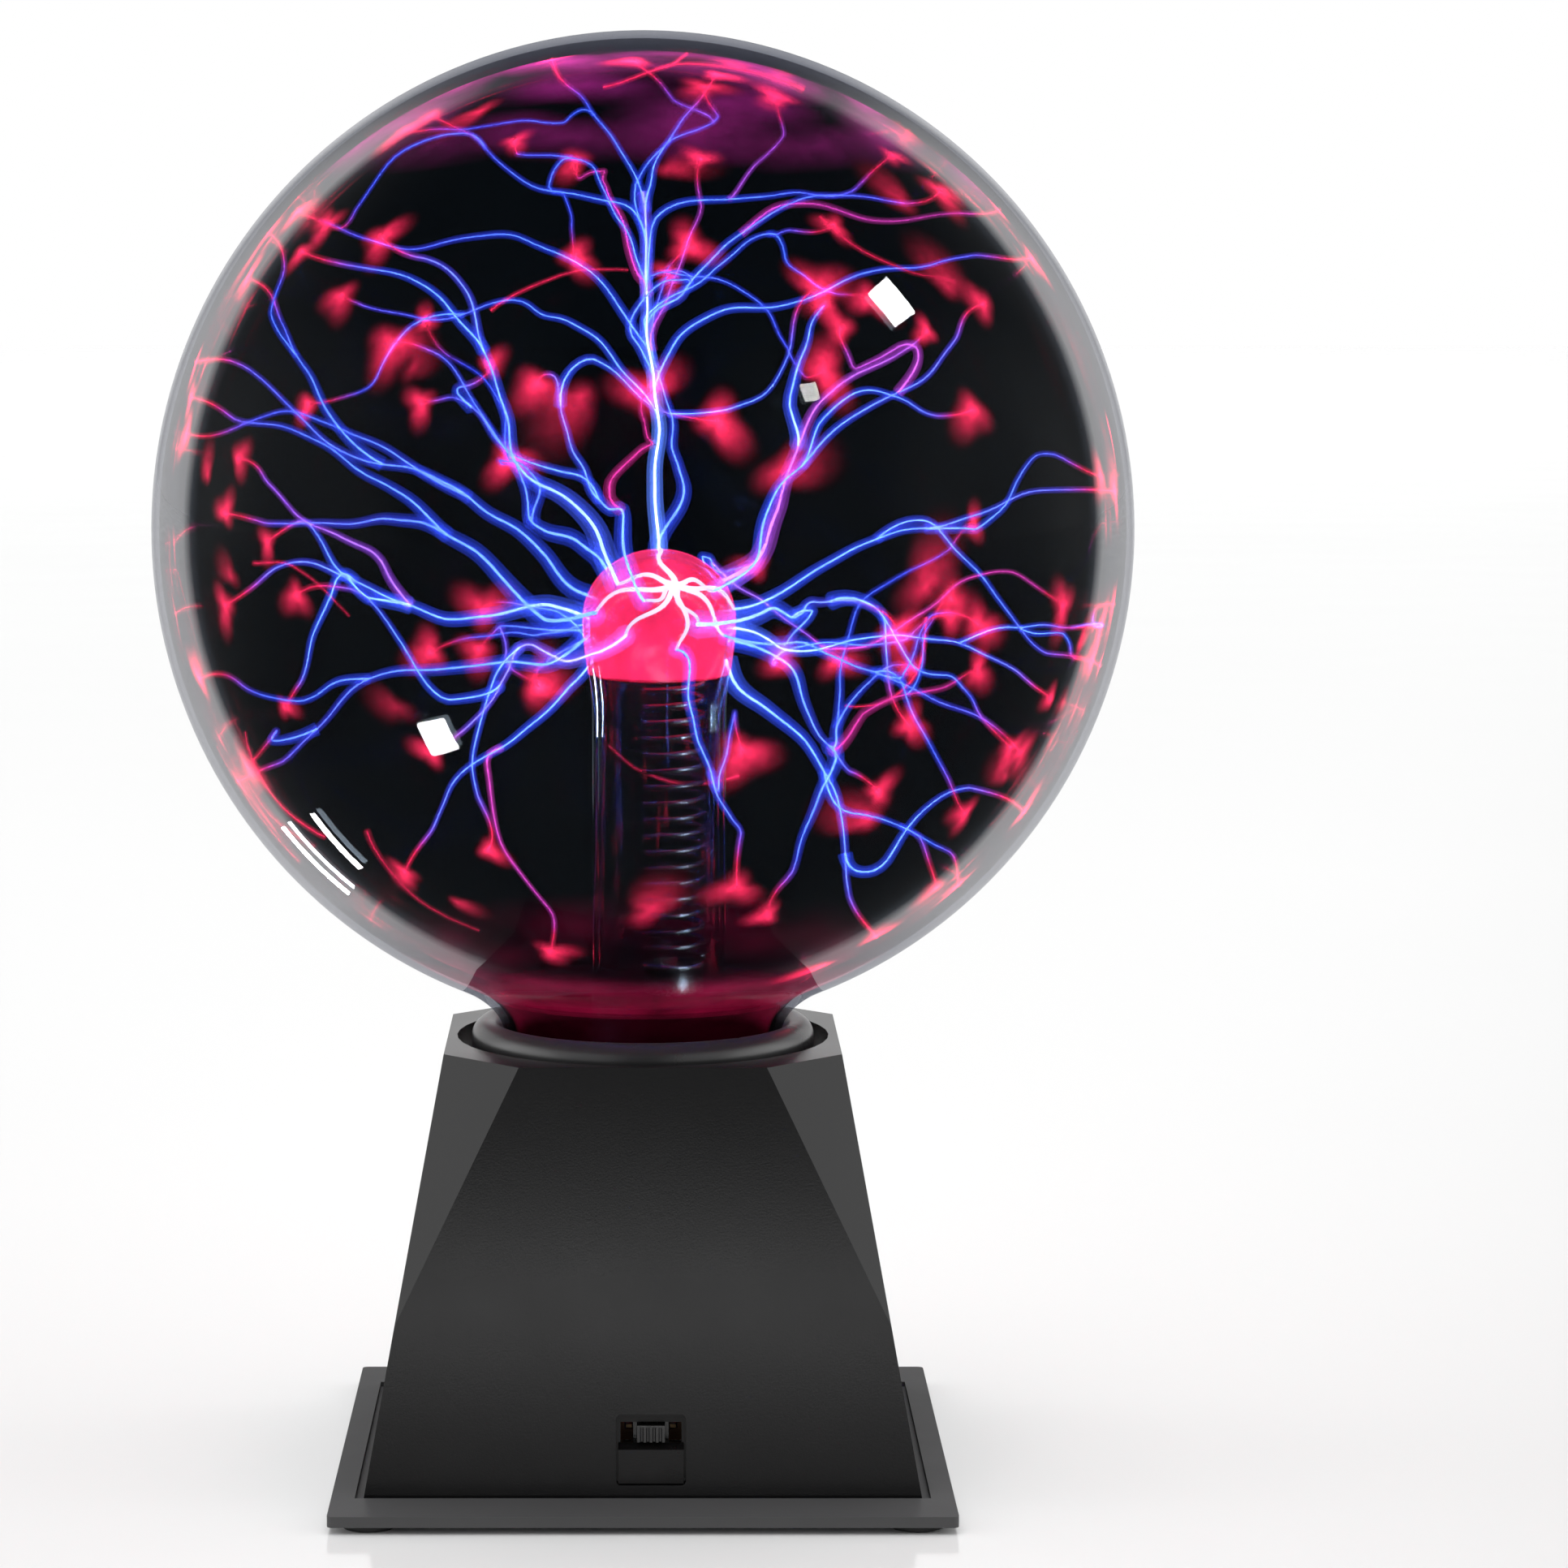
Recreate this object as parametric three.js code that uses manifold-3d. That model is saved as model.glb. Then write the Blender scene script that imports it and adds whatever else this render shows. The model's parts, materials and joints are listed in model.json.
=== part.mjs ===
// Plasma ball on a faceted stand. A gas-filled glass globe with a central electrode stem is
// held by its neck in a hollow tower, which carries the high-voltage driver, a slide switch at
// the front and a low-voltage inlet at the back.
// Millimetres, +Z up, the front faces -Y. The origin is the middle of the footprint, feet at z = 0.

import * as THREE from 'three';
import { ConvexGeometry } from 'three/addons/geometries/ConvexGeometry.js';
import { mergeVertices } from 'three/addons/utils/BufferGeometryUtils.js';
import Module from 'manifold-3d';

const wasm = await Module();
wasm.setup();

// ---------------------------------------------------------------- driving dimensions

const GAP = 0.3;                    // clearance between pieces that touch

const GLOBE_RADIUS = 101.6;         // 8 inch globe, level radius
const GLOBE_RISE = 102.74;          // upright radius: the blown globe is slightly tall
const GLOBE_CENTRE_Z = 196.4;
const GLOBE_WALL = 1.6;
const NECK_RADIUS = 29;
const NECK_FOOT_Z = 78.5;           // open end of the neck
const NECK_FLARE_START_Z = 90;
const NECK_FLARE_END_RADIUS = 40;   // where the flare runs into the globe

const STEM_X = 3.4;                 // the inner tube stands a little right of the middle
const STEM_RADIUS = 13.9;
const STEM_WALL = 1.2;
const STEM_FOOT_RADIUS = 26.8;
const STEM_FOOT_Z = 78.8;
const STEM_RIM_Z = 80;              // top of the foot's upright rim, where the flare starts
const STEM_FLARE_HANDLE = [17.8, 81.8];
const STEM_TUBE_HANDLE_Z = 85.8;
const STEM_WAIST_Z = 100;           // the flare has become a straight tube here
const BULB_START_Z = 158;
const BULB_RADIUS = 15.8;
const BULB_HANDLE = 7;              // how far the swell stays upright at each of its ends
const BULB_Z = 178;
const STEM_TOP_Z = 192.4;
const LINER_FOOT_Z = 166;
const LINER_WALL = 0.6;
const LINER_TUCK = 0.2;             // the liner's lower rim is drawn in

const SPRING_X = 6.5;
const SPRING_RADIUS = 6.0;          // to the middle of the wire
const SPRING_WIRE_RADIUS = 0.6;
const SPRING_PITCH = 3.4;
const SPRING_FOOT_Z = 107;
const SPRING_TURNS = 19;
const FERRULE_FOOT_Z = 99.5;
const FERRULE_TOP_Z = 106;
const FERRULE_RADIUS = 6.4;
const FERRULE_WALL = 0.8;
const FERRULE_FLOOR = 1;
const POST_FOOT_Z = 79.2;
const POST_RADIUS = 4.6;
const POST_BORE_RADIUS = 1.7;
const POST_FLANGE_RADIUS = 10;
const POST_FLANGE_HEIGHT = 2;

const TOWER_TOP_Z = 90.6;
const TOWER_EDGE_Z = 3.0;           // the lower edge, standing in the plinth's moat
const TOWER_TOP_HALF = 40.87;       // half width of the eight-sided top
const TOWER_TOP_FLAT = 25.06;       // half length of a level top edge
const TOWER_FOOT_HALF_X = 56.5;     // half sizes at the plinth's top face
const TOWER_FOOT_HALF_Y = 46.7;
const FACET_FOOT_Z = 38;            // each corner facet ends in a point at this height
const TOWER_WALL = 2.2;
const DECK_TOP_Z = 87.2;
const DECK_FOOT_Z = 83.0;
const RECESS_RADIUS = 39.0;
const NECK_HOLE_RADIUS = 30.6;

const GASKET_RADIUS = 35.9;
const GASKET_TOP_Z = 94.2;
const GASKET_LIP_Z = 91.6;          // where the rubber meets the neck
const GASKET_HEEL = 0.6;
const GASKET_CROWN_RADIUS = 32.6;   // middle of the curve that rounds the ring's top
const GASKET_CROWN_Z = 90.6;
const GASKET_CROWN_SWEEP = Math.PI * 0.68;
const CLAMP_RADIUS = 37;
const CLAMP_FOOT_Z = 77.7;
const CLAMP_SCREW_RING = 33.4;
const CLAMP_SCREW_RADIUS = 1.2;
const CLAMP_SCREW_HEAD = 1.6;

const PLINTH_HALF = 63.1;
const PLINTH_CORNER = 1.2;
const PLINTH_FOOT_Z = 1.5;
const PLINTH_TOP_Z = 3.75;
const MOAT_FLOOR_Z = 2.7;
const MOAT_HALF_X = 58.3;
const MOAT_HALF_Y = 48.9;
const PLATFORM_TOP_Z = 4.5;         // raised middle of the plinth, inside the tower
const PLATFORM_HALF_X = 53.7;
const PLATFORM_HALF_Y = 43.9;
const VENTS_EACH_SIDE = 3;
const VENT_PITCH = 6;
const VENT_HALF_X = 1.2;
const VENT_HALF_Y = 16;

const FOOT_RADIUS = 6;
const FOOT_X = 55;
const FOOT_Y = 56;
const FOOT_RECESS = 0.6;
const BASE_SCREW_X = 47;
const BASE_SCREW_Y = 38;
const BASE_SCREW_RADIUS = 1.4;
const BASE_SCREW_TOP_Z = 17;
const BASE_SCREW_HEAD_RADIUS = 2.9;
const COUNTERBORE_DEPTH = 1.9;
const BOSS_TOP_Z = 22;
const BOSS_RADIUS = 3.6;
const BOSS_RIB_HALF = 0.8;

const BOARD_HALF_X = 38;
const BOARD_HALF_Y = 27;
const BOARD_FOOT_Z = 14;
const BOARD_TOP_Z = 15.6;
const BOARD_SCREW_X = 34;
const BOARD_SCREW_Y = 23;
const BOARD_SCREW_RADIUS = 1.0;
const BOARD_SCREW_HEAD = 1.5;
const BOARD_POST_RADIUS = 3;
const PARTS_FOOT_Z = BOARD_TOP_Z + GAP;

const WINDOW_X = 1.65;              // switch window, measured on the sloping front face
const WINDOW_Z = 12.96;
const WINDOW_HALF_X = 7.1;
const WINDOW_HALF_Z = 7.23;
const WINDOW_CORNER = 1;
const BEZEL_FRONT = 2.5;            // depths behind the front face
const BEZEL_BACK = 5.0;
const BEZEL_HALF_X = 13.5;
const BEZEL_FOOT = -8;
const BEZEL_TOP = 9;
const LEDGE_HALF_X = 6.65;          // proud block that fills the window's lower half
const LEDGE_FRONT = 0.5;
const LEDGE_FOOT = -6.95;
const LEDGE_EDGE = [LEDGE_FRONT, -0.03];
const LEDGE_CREST = [1.9, 1.06];    // its top edge slopes back from the one to the other
const KNOB_HALF_X = 2.86;
const KNOB_HALF_Z = 1.8;
const KNOB_FRONT = 0.4;
const KNOB_NECK_FRONT = 1.3;        // the ribs stand out in front of this
const KNOB_CAP = 0.6;
const KNOB_RIBS = 5;
const KNOB_RIB_HALF = 0.35;
const SLIDER_HALF_X = 3.7;
const SLIDER_HALF_Z = 3;
const SLIDER_FRONT = 6.2;
const SLIDER_BACK = 8.2;
const KNOB_UP = 3.2;                // the knob's middle, above the window's middle
const KNOB_TRAVEL = 3.0;            // to either side of the middle position
const CASE_HALF_X = 8.5;
const CASE_HALF_Z = 4.4;
const CASE_FRONT = BEZEL_BACK + GAP;
const CASE_BACK = 11.3;
const CASE_WALL = 0.5;
const EAR_HALF_X = 13;
const EAR_HALF_Z = 2.4;
const SWITCH_SCREW_X = 10.6;
const SWITCH_SCREW_RADIUS = 0.8;
const SWITCH_SCREW_HEAD = 1.2;
const CONTACT_BOARD_FRONT = 9.8;
const CONTACT_BOARD_BACK = 11;
const CONTACT_BOARD_HALF_X = 7.7;
const CONTACT_BOARD_HALF_Z = 3.6;
const TERMINAL_HALF_X = 0.6;
const TERMINAL_HALF_Z = 0.35;

const JACK_X = 0;
const JACK_Z = 13;
const JACK_BARREL_RADIUS = 4.0;
const JACK_BORE_RADIUS = 3.15;
const JACK_PIN_RADIUS = 1.0;
const JACK_REAR = -12;              // behind the back wall's outer face
const JACK_REAR_WALL = 2.5;
const JACK_FLANGE_RADIUS = 5.6;
const JACK_FLANGE = 1.5;
const JACK_FLANGE_EASE = 0.4;
const JACK_NUT_RADIUS = 6.3;
const JACK_TAIL = 3;                // how far the contacts stand out at the rear
const JACK_CONTACT = [2.4, 2.8];
const JACK_CONTACT_HALF = 0.9;

const CORE_X = -8;
const LEG_SPREAD = 13;
const LEG_HALF = 5;
const CORE_HALF_HEIGHT = 22;
const YOKE_HEIGHT = 9;
const BOBBIN_BORE_RADIUS = 7.4;
const BOBBIN_TUBE_RADIUS = 8.4;
const BOBBIN_FLANGE_RADIUS = 12.5;
const BOBBIN_FLANGE = 1.5;
const HV_COIL_RADIUS = 11.5;
const PRIMARY_RADIUS = 8.8;
const PRIMARY_FOOT_Z = 29;
const PRIMARY_TOP_Z = 43;

const SINK_FRONT_Y = -20;
const SINK_BACK_Y = 3.4;
const SINK_PLATE = [24.5, 26.9];
const SINK_FIN = [26.5, 34];
const SINK_FIN_THICKNESS = 1.4;
const SINK_FINS = 5;
const SINK_FIN_PITCH = 5.5;
const SINK_TOP_Z = 38;
const TRANSISTOR_FACE = [19.6, 24.2];
const TRANSISTOR_TAB_X = 22.9;
const TRANSISTOR_Y = [-13.5, -3.5];
const TRANSISTOR_FOOT_Z = 19;
const TRANSISTOR_BODY_TOP_Z = 28.5;
const TRANSISTOR_TAB_TOP_Z = 34.5;
const TRANSISTOR_LEG_X = [21.4, 21.9];
const TRANSISTOR_LEGS_Y = [-11, -8.5, -6];
const TRANSISTOR_LEG_HALF = 0.4;
const BULK_RADIUS = 5;
const BULK_TOP_Z = 32;
const FILM_TOP_Z = 26;
const CHIP_X = [4, 14];
const CHIP_Y = [-20.2, -13.8];
const CHIP_TOP_Z = 20;
const CHIP_LEGS_X = [5.2, 7.7, 10.2, 12.7];
const CHIP_LEG_HALF = 0.3;
const CHIP_LEG_TOP_Z = 18.4;
const MICROPHONE_RADIUS = 4.8;
const MICROPHONE_TOP_Z = 22.5;

// ---------------------------------------------------------------- materials

function material(color, roughness, metalness = 0, opacity = 1) {
  return new THREE.MeshStandardMaterial({
    color, roughness, metalness, opacity, transparent: opacity < 1,
  });
}

const globeGlass = () => material(0x1c2a33, 0.03, 0, 0.35);
const stemGlass = () => material(0x9fb2bb, 0.04, 0, 0.35);
const electrodeCoat = () => material(0xff2a5f, 0.5);
const satinPlastic = () => material(0x232323, 0.42);
const plinthPlastic = () => material(0x333333, 0.45);
const blackPlastic = () => material(0x0c0c0c, 0.4);
const rubber = () => material(0x3c3c3c, 0.7);
const steel = () => material(0x9a9a9c, 0.3, 1);
const springSteel = () => material(0x6e6e70, 0.35, 1);
const brass = () => material(0xb8924a, 0.3, 1);
const phenolic = () => material(0x6b4423, 0.7);
const boardGreen = () => material(0x14532d, 0.5);
const ferrite = () => material(0x2b2b2d, 0.8);
const copper = () => material(0xb87333, 0.35, 1);
const aluminium = () => material(0xb6b8ba, 0.35, 1);
const sleeveBlue = () => material(0x1d2a55, 0.45);
const filmYellow = () => material(0xc8a02c, 0.45);
const wireRed = () => material(0xb01818, 0.45);
const wireBlack = () => material(0x161616, 0.45);
const wireWhite = () => material(0xd8d5cc, 0.45);

// ---------------------------------------------------------------- solids

// Merges shared corners, drops collapsed triangles and turns the faces outwards.
function closed(geometry) {
  const bare = geometry.clone();
  bare.deleteAttribute('normal');
  bare.deleteAttribute('uv');
  const merged = mergeVertices(bare, 1e-4);
  const corner = merged.getAttribute('position');
  const index = merged.getIndex().array;
  const a = new THREE.Vector3();
  const b = new THREE.Vector3();
  const c = new THREE.Vector3();
  const kept = [];
  let volume = 0;
  for (let i = 0; i < index.length; i += 3) {
    const [p, q, r] = [index[i], index[i + 1], index[i + 2]];
    if (p === q || q === r || r === p) continue;
    a.fromBufferAttribute(corner, p);
    b.fromBufferAttribute(corner, q);
    c.fromBufferAttribute(corner, r);
    volume += a.dot(b.cross(c)) / 6;
    kept.push(p, q, r);
  }
  if (volume < 0) kept.reverse();
  merged.setIndex(kept);
  return merged;
}

function solid(geometry) {
  const shape = closed(geometry);
  return new wasm.Manifold(new wasm.Mesh({
    numProp: 3,
    vertProperties: new Float32Array(shape.getAttribute('position').array),
    triVerts: new Uint32Array(shape.getIndex().array),
  }));
}

function geometryOf(manifold) {
  const mesh = manifold.getMesh();
  const geometry = new THREE.BufferGeometry();
  geometry.setAttribute('position', new THREE.BufferAttribute(new Float32Array(mesh.vertProperties), 3));
  geometry.setIndex([...mesh.triVerts]);
  geometry.computeVertexNormals();
  return geometry;
}

function joined(...solids) {
  return solids.reduce((whole, piece) => whole.add(piece));
}

function cut(whole, ...tools) {
  return tools.reduce((rest, tool) => rest.subtract(tool), whole);
}

function block(x0, x1, y0, y1, z0, z1) {
  const geometry = new THREE.BoxGeometry(x1 - x0, y1 - y0, z1 - z0);
  return geometry.translate((x0 + x1) / 2, (y0 + y1) / 2, (z0 + z1) / 2);
}

function rod(radius, z0, z1, x = 0, y = 0, segments = 16) {
  const geometry = new THREE.CylinderGeometry(radius, radius, z1 - z0, segments);
  return geometry.rotateX(Math.PI / 2).translate(x, y, (z0 + z1) / 2);
}

// A ring or cup turned about Z from an outline of [radius, height] points.
function turned(outline, segments = 24) {
  const points = outline.map(([radius, height]) => new THREE.Vector2(radius, height));
  if (!(points[0].x === 0 && points[points.length - 1].x === 0)) points.push(points[0].clone());
  return new THREE.LatheGeometry(points, segments).rotateX(Math.PI / 2);
}

function ring(innerRadius, outerRadius, z0, z1, segments = 24) {
  return turned([[innerRadius, z0], [outerRadius, z0], [outerRadius, z1], [innerRadius, z1]], segments);
}

// A thin shell of even thickness inside an open outer line that ends on the axis.
function shellOutline(outer, wall) {
  const inner = outer.map((point, i) => {
    const before = outer[Math.max(i - 1, 0)];
    const after = outer[Math.min(i + 1, outer.length - 1)];
    const along = after.clone().sub(before).normalize();
    if (point.x === 0) return new THREE.Vector2(0, point.y - wall);
    return new THREE.Vector2(Math.max(point.x - along.y * wall, 0), point.y + along.x * wall);
  });
  inner[0].y = outer[0].y;
  return [...outer, ...inner.reverse()].map((point) => [point.x, point.y]);
}

function roundedRectangle(halfX, halfY, radius) {
  const shape = new THREE.Shape();
  shape.absarc(halfX - radius, halfY - radius, radius, 0, Math.PI / 2);
  shape.absarc(radius - halfX, halfY - radius, radius, Math.PI / 2, Math.PI);
  shape.absarc(radius - halfX, radius - halfY, radius, Math.PI, Math.PI * 1.5);
  shape.absarc(halfX - radius, radius - halfY, radius, Math.PI * 1.5, Math.PI * 2);
  return shape;
}

function plate(shape, z0, z1, curveSegments = 3) {
  const options = { depth: z1 - z0, bevelEnabled: false, curveSegments };
  return new THREE.ExtrudeGeometry(shape, options).translate(0, 0, z0);
}

// A polygon drawn in the YZ plane, extruded along X from -halfX to halfX.
function barAlongX(outline, halfX) {
  const shape = new THREE.Shape(outline.map(([y, z]) => new THREE.Vector2(y, z)));
  const geometry = new THREE.ExtrudeGeometry(shape, { depth: 2 * halfX, bevelEnabled: false });
  return geometry.rotateX(Math.PI / 2).rotateZ(Math.PI / 2).translate(-halfX, 0, 0);
}

function wire(curve, radius, steps, curveSegments = 4) {
  const section = new THREE.Shape().absarc(0, 0, radius, 0, Math.PI * 2);
  const options = { steps, extrudePath: curve, curveSegments, bevelEnabled: false };
  return new THREE.ExtrudeGeometry(section, options);
}

function lead(points, radius = 0.8, steps = 12) {
  const path = new THREE.CatmullRomCurve3(points.map(([x, y, z]) => new THREE.Vector3(x, y, z)));
  return wire(path, radius, steps, 3);
}

const plasmaBall = new THREE.Group();

// Adds one named piece, from a geometry or a joined and cut solid.
function piece(name, shape, look, parent = plasmaBall) {
  const body = shape.isBufferGeometry ? solid(shape) : shape;
  const mesh = new THREE.Mesh(geometryOf(body), look);
  mesh.name = name;
  parent.add(mesh);
  return mesh;
}

const CORNERS = [[-1, -1], [1, -1], [1, 1], [-1, 1]];
const SIDES = [-1, 1];

// ---------------------------------------------------------------- globe and stem

function globeOutline() {
  const flareAngle = -Math.acos(NECK_FLARE_END_RADIUS / GLOBE_RADIUS);
  const flareEndZ = GLOBE_CENTRE_Z + GLOBE_RISE * Math.sin(flareAngle);
  const slope = (GLOBE_RISE / GLOBE_RADIUS) / Math.tan(-flareAngle);
  const controlZ = flareEndZ - slope * (NECK_FLARE_END_RADIUS - NECK_RADIUS);
  const flare = new THREE.QuadraticBezierCurve(
    new THREE.Vector2(NECK_RADIUS, NECK_FLARE_START_Z),
    new THREE.Vector2(NECK_RADIUS, controlZ),
    new THREE.Vector2(NECK_FLARE_END_RADIUS, flareEndZ));
  const bowlArc = (from, to) => new THREE.EllipseCurve(
    0, GLOBE_CENTRE_Z, GLOBE_RADIUS, GLOBE_RISE, from, to);
  const outer = [
    new THREE.Vector2(NECK_RADIUS, NECK_FOOT_Z),
    ...flare.getPoints(4),
    ...bowlArc(flareAngle, 0).getPoints(7).slice(1),
    ...bowlArc(0, Math.PI / 2).getPoints(9).slice(1),
  ];
  outer[outer.length - 1].x = 0;
  return shellOutline(outer, GLOBE_WALL);
}

function stemOuterLine(footZ) {
  const flare = new THREE.CubicBezierCurve(
    new THREE.Vector2(STEM_FOOT_RADIUS, STEM_RIM_Z),
    new THREE.Vector2(...STEM_FLARE_HANDLE),
    new THREE.Vector2(STEM_RADIUS, STEM_TUBE_HANDLE_Z),
    new THREE.Vector2(STEM_RADIUS, STEM_WAIST_Z));
  const swell = new THREE.CubicBezierCurve(
    new THREE.Vector2(STEM_RADIUS, BULB_START_Z),
    new THREE.Vector2(STEM_RADIUS, BULB_START_Z + BULB_HANDLE),
    new THREE.Vector2(BULB_RADIUS, BULB_Z - BULB_HANDLE),
    new THREE.Vector2(BULB_RADIUS, BULB_Z));
  const dome = new THREE.EllipseCurve(0, BULB_Z, BULB_RADIUS, STEM_TOP_Z - BULB_Z, 0, Math.PI / 2);
  const line = [
    new THREE.Vector2(STEM_FOOT_RADIUS, STEM_FOOT_Z),
    ...flare.getPoints(6),
    ...swell.getPoints(4),
    ...dome.getPoints(6).slice(1),
  ].filter((point) => point.y >= footZ);
  line[line.length - 1].x = 0;
  return line;
}

// The straight tube stands beside the neck's axis, while its flared foot is centred in the neck.
function leanToStemAxis(geometry) {
  const position = geometry.getAttribute('position');
  for (let i = 0; i < position.count; i += 1) {
    const rise = THREE.MathUtils.smoothstep(position.getZ(i), STEM_RIM_Z, STEM_WAIST_Z);
    position.setX(i, position.getX(i) + STEM_X * rise);
  }
  return geometry;
}

// The liner follows the inside of the stem's glass, a gap away from it.
function linerGeometry() {
  const shrink = STEM_WALL + GAP;
  const rim = stemOuterLine(LINER_FOOT_Z)
    .map(({ x, y }) => new THREE.Vector2(x - shrink, y > BULB_Z ? y - shrink : y))
    .filter((point) => point.x > 0);
  const foot = new THREE.Vector2(rim[0].x - LINER_TUCK, LINER_FOOT_Z);
  const top = new THREE.Vector2(0, STEM_TOP_Z - shrink);
  return turned(shellOutline([foot, ...rim, top], LINER_WALL), 16);
}

class Helix extends THREE.Curve {
  getPoint(t, target = new THREE.Vector3()) {
    const angle = t * SPRING_TURNS * Math.PI * 2;
    return target.set(
      SPRING_RADIUS * Math.cos(angle),
      SPRING_RADIUS * Math.sin(angle),
      t * SPRING_TURNS * SPRING_PITCH);
  }
}

piece('globe_glass', turned(globeOutline(), 32), globeGlass());
piece('stem_glass', leanToStemAxis(turned(shellOutline(stemOuterLine(0), STEM_WALL), 20)), stemGlass());
piece('electrode_liner', linerGeometry(), electrodeCoat()).position.x = STEM_X;

const springGroup = new THREE.Group();
springGroup.position.x = SPRING_X;
plasmaBall.add(springGroup);

const coil = wire(new Helix(), SPRING_WIRE_RADIUS, SPRING_TURNS * 8, 2);
piece('contact_spring', coil, springSteel(), springGroup).position.z = SPRING_FOOT_Z;

piece('spring_ferrule', turned([
  [0, FERRULE_FOOT_Z], [FERRULE_RADIUS, FERRULE_FOOT_Z], [FERRULE_RADIUS, FERRULE_TOP_Z],
  [FERRULE_RADIUS - FERRULE_WALL, FERRULE_TOP_Z],
  [FERRULE_RADIUS - FERRULE_WALL, FERRULE_FOOT_Z + FERRULE_FLOOR], [0, FERRULE_FOOT_Z + FERRULE_FLOOR],
], 20), steel(), springGroup);

piece('spring_post', turned([
  [POST_BORE_RADIUS, POST_FOOT_Z], [POST_FLANGE_RADIUS, POST_FOOT_Z],
  [POST_FLANGE_RADIUS, POST_FOOT_Z + POST_FLANGE_HEIGHT], [POST_RADIUS, POST_FOOT_Z + POST_FLANGE_HEIGHT],
  [POST_RADIUS, FERRULE_FOOT_Z - GAP], [POST_BORE_RADIUS, FERRULE_FOOT_Z - GAP],
], 20), blackPlastic(), springGroup);

// ---------------------------------------------------------------- neck gasket and clamp

const gasketFootZ = DECK_TOP_Z + GAP;
const gasketInner = NECK_RADIUS + GAP + 0.1;
const gasketCrown = new THREE.EllipseCurve(
  GASKET_CROWN_RADIUS, GASKET_CROWN_Z,
  GASKET_RADIUS - GASKET_CROWN_RADIUS, GASKET_TOP_Z - GASKET_CROWN_Z, 0, GASKET_CROWN_SWEEP);
piece('neck_gasket', turned([
  [gasketInner, gasketFootZ],
  [GASKET_RADIUS - GASKET_HEEL, gasketFootZ],
  ...gasketCrown.getPoints(6).map((point) => [point.x, point.y]),
  [gasketInner, GASKET_LIP_Z],
], 36), rubber());

const clampTopZ = DECK_FOOT_Z - GAP;
const clampScrewPlaces = CORNERS.map(([sx, sy]) => [
  sx * CLAMP_SCREW_RING * Math.SQRT1_2, sy * CLAMP_SCREW_RING * Math.SQRT1_2]);
const clampScrewTopZ = DECK_TOP_Z - 0.8;
const clampHoleRadius = CLAMP_SCREW_RADIUS + GAP;
const clampHoles = clampScrewPlaces.map(
  ([x, y]) => solid(rod(clampHoleRadius, CLAMP_FOOT_Z - 1, clampTopZ + 1, x, y, 12)));
piece('neck_clamp', cut(
  solid(ring(NECK_RADIUS + GAP, CLAMP_RADIUS, CLAMP_FOOT_Z, clampTopZ, 32)), ...clampHoles),
blackPlastic());

// A pan-headed screw with its head at z = 0 and its point up.
function screw(headRadius, headHeight, shankRadius, length, recess = 0) {
  const body = solid(turned([
    [0, 0], [headRadius * 0.8, 0], [headRadius, headHeight * 0.4], [headRadius, headHeight],
    [shankRadius, headHeight], [shankRadius, length - shankRadius], [shankRadius * 0.3, length], [0, length],
  ], 12));
  if (!recess) return body;
  const arm = headRadius * 0.6;
  const slotHalf = headRadius * 0.13;
  return cut(body,
    solid(block(-arm, arm, -slotHalf, slotHalf, -1, recess)),
    solid(block(-slotHalf, slotHalf, -arm, arm, -1, recess)));
}

clampScrewPlaces.forEach(([x, y], i) => {
  const headFootZ = CLAMP_FOOT_Z - GAP - CLAMP_SCREW_HEAD;
  const body = screw(2.5, CLAMP_SCREW_HEAD, CLAMP_SCREW_RADIUS, clampScrewTopZ - headFootZ);
  piece(`clamp_screw_${i + 1}`, body, steel()).position.set(x, y, headFootZ);
});

// ---------------------------------------------------------------- tower shell

const SLOPE_X = (TOWER_FOOT_HALF_X - TOWER_TOP_HALF) / (TOWER_TOP_Z - PLINTH_TOP_Z);
const SLOPE_Y = (TOWER_FOOT_HALF_Y - TOWER_TOP_HALF) / (TOWER_TOP_Z - PLINTH_TOP_Z);
const towerHalfX = (z) => TOWER_TOP_HALF + SLOPE_X * (TOWER_TOP_Z - z);
const towerHalfY = (z) => TOWER_TOP_HALF + SLOPE_Y * (TOWER_TOP_Z - z);

const facetPlane = new THREE.Plane().setFromCoplanarPoints(
  new THREE.Vector3(towerHalfX(FACET_FOOT_Z), towerHalfY(FACET_FOOT_Z), FACET_FOOT_Z),
  new THREE.Vector3(TOWER_TOP_HALF, TOWER_TOP_FLAT, TOWER_TOP_Z),
  new THREE.Vector3(TOWER_TOP_FLAT, TOWER_TOP_HALF, TOWER_TOP_Z));
if (facetPlane.normal.x < 0) facetPlane.negate();

// The tower's outer form, or the same form with every side moved in by inset.
function towerForm(inset, z0, z1) {
  const { normal, constant } = facetPlane;
  const reach = -constant - inset;
  const overshoot = (z) => normal.x * (towerHalfX(z) - inset) + normal.y * (towerHalfY(z) - inset)
    + normal.z * z - reach;
  const facetFootZ = z0 - (overshoot(z0) * (z1 - z0)) / (overshoot(z1) - overshoot(z0));
  const points = [];
  for (const [sx, sy] of CORNERS) {
    const topX = towerHalfX(z1) - inset;
    const topY = towerHalfY(z1) - inset;
    const flatY = (reach - normal.x * topX - normal.z * z1) / normal.y;
    const flatX = (reach - normal.y * topY - normal.z * z1) / normal.x;
    const facetX = towerHalfX(facetFootZ) - inset;
    const facetY = towerHalfY(facetFootZ) - inset;
    points.push(
      new THREE.Vector3(sx * (towerHalfX(z0) - inset), sy * (towerHalfY(z0) - inset), z0),
      new THREE.Vector3(sx * facetX, sy * facetY, facetFootZ),
      new THREE.Vector3(sx * topX, sy * flatY, z1),
      new THREE.Vector3(sx * flatX, sy * topY, z1));
  }
  return solid(new ConvexGeometry(points));
}

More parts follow.
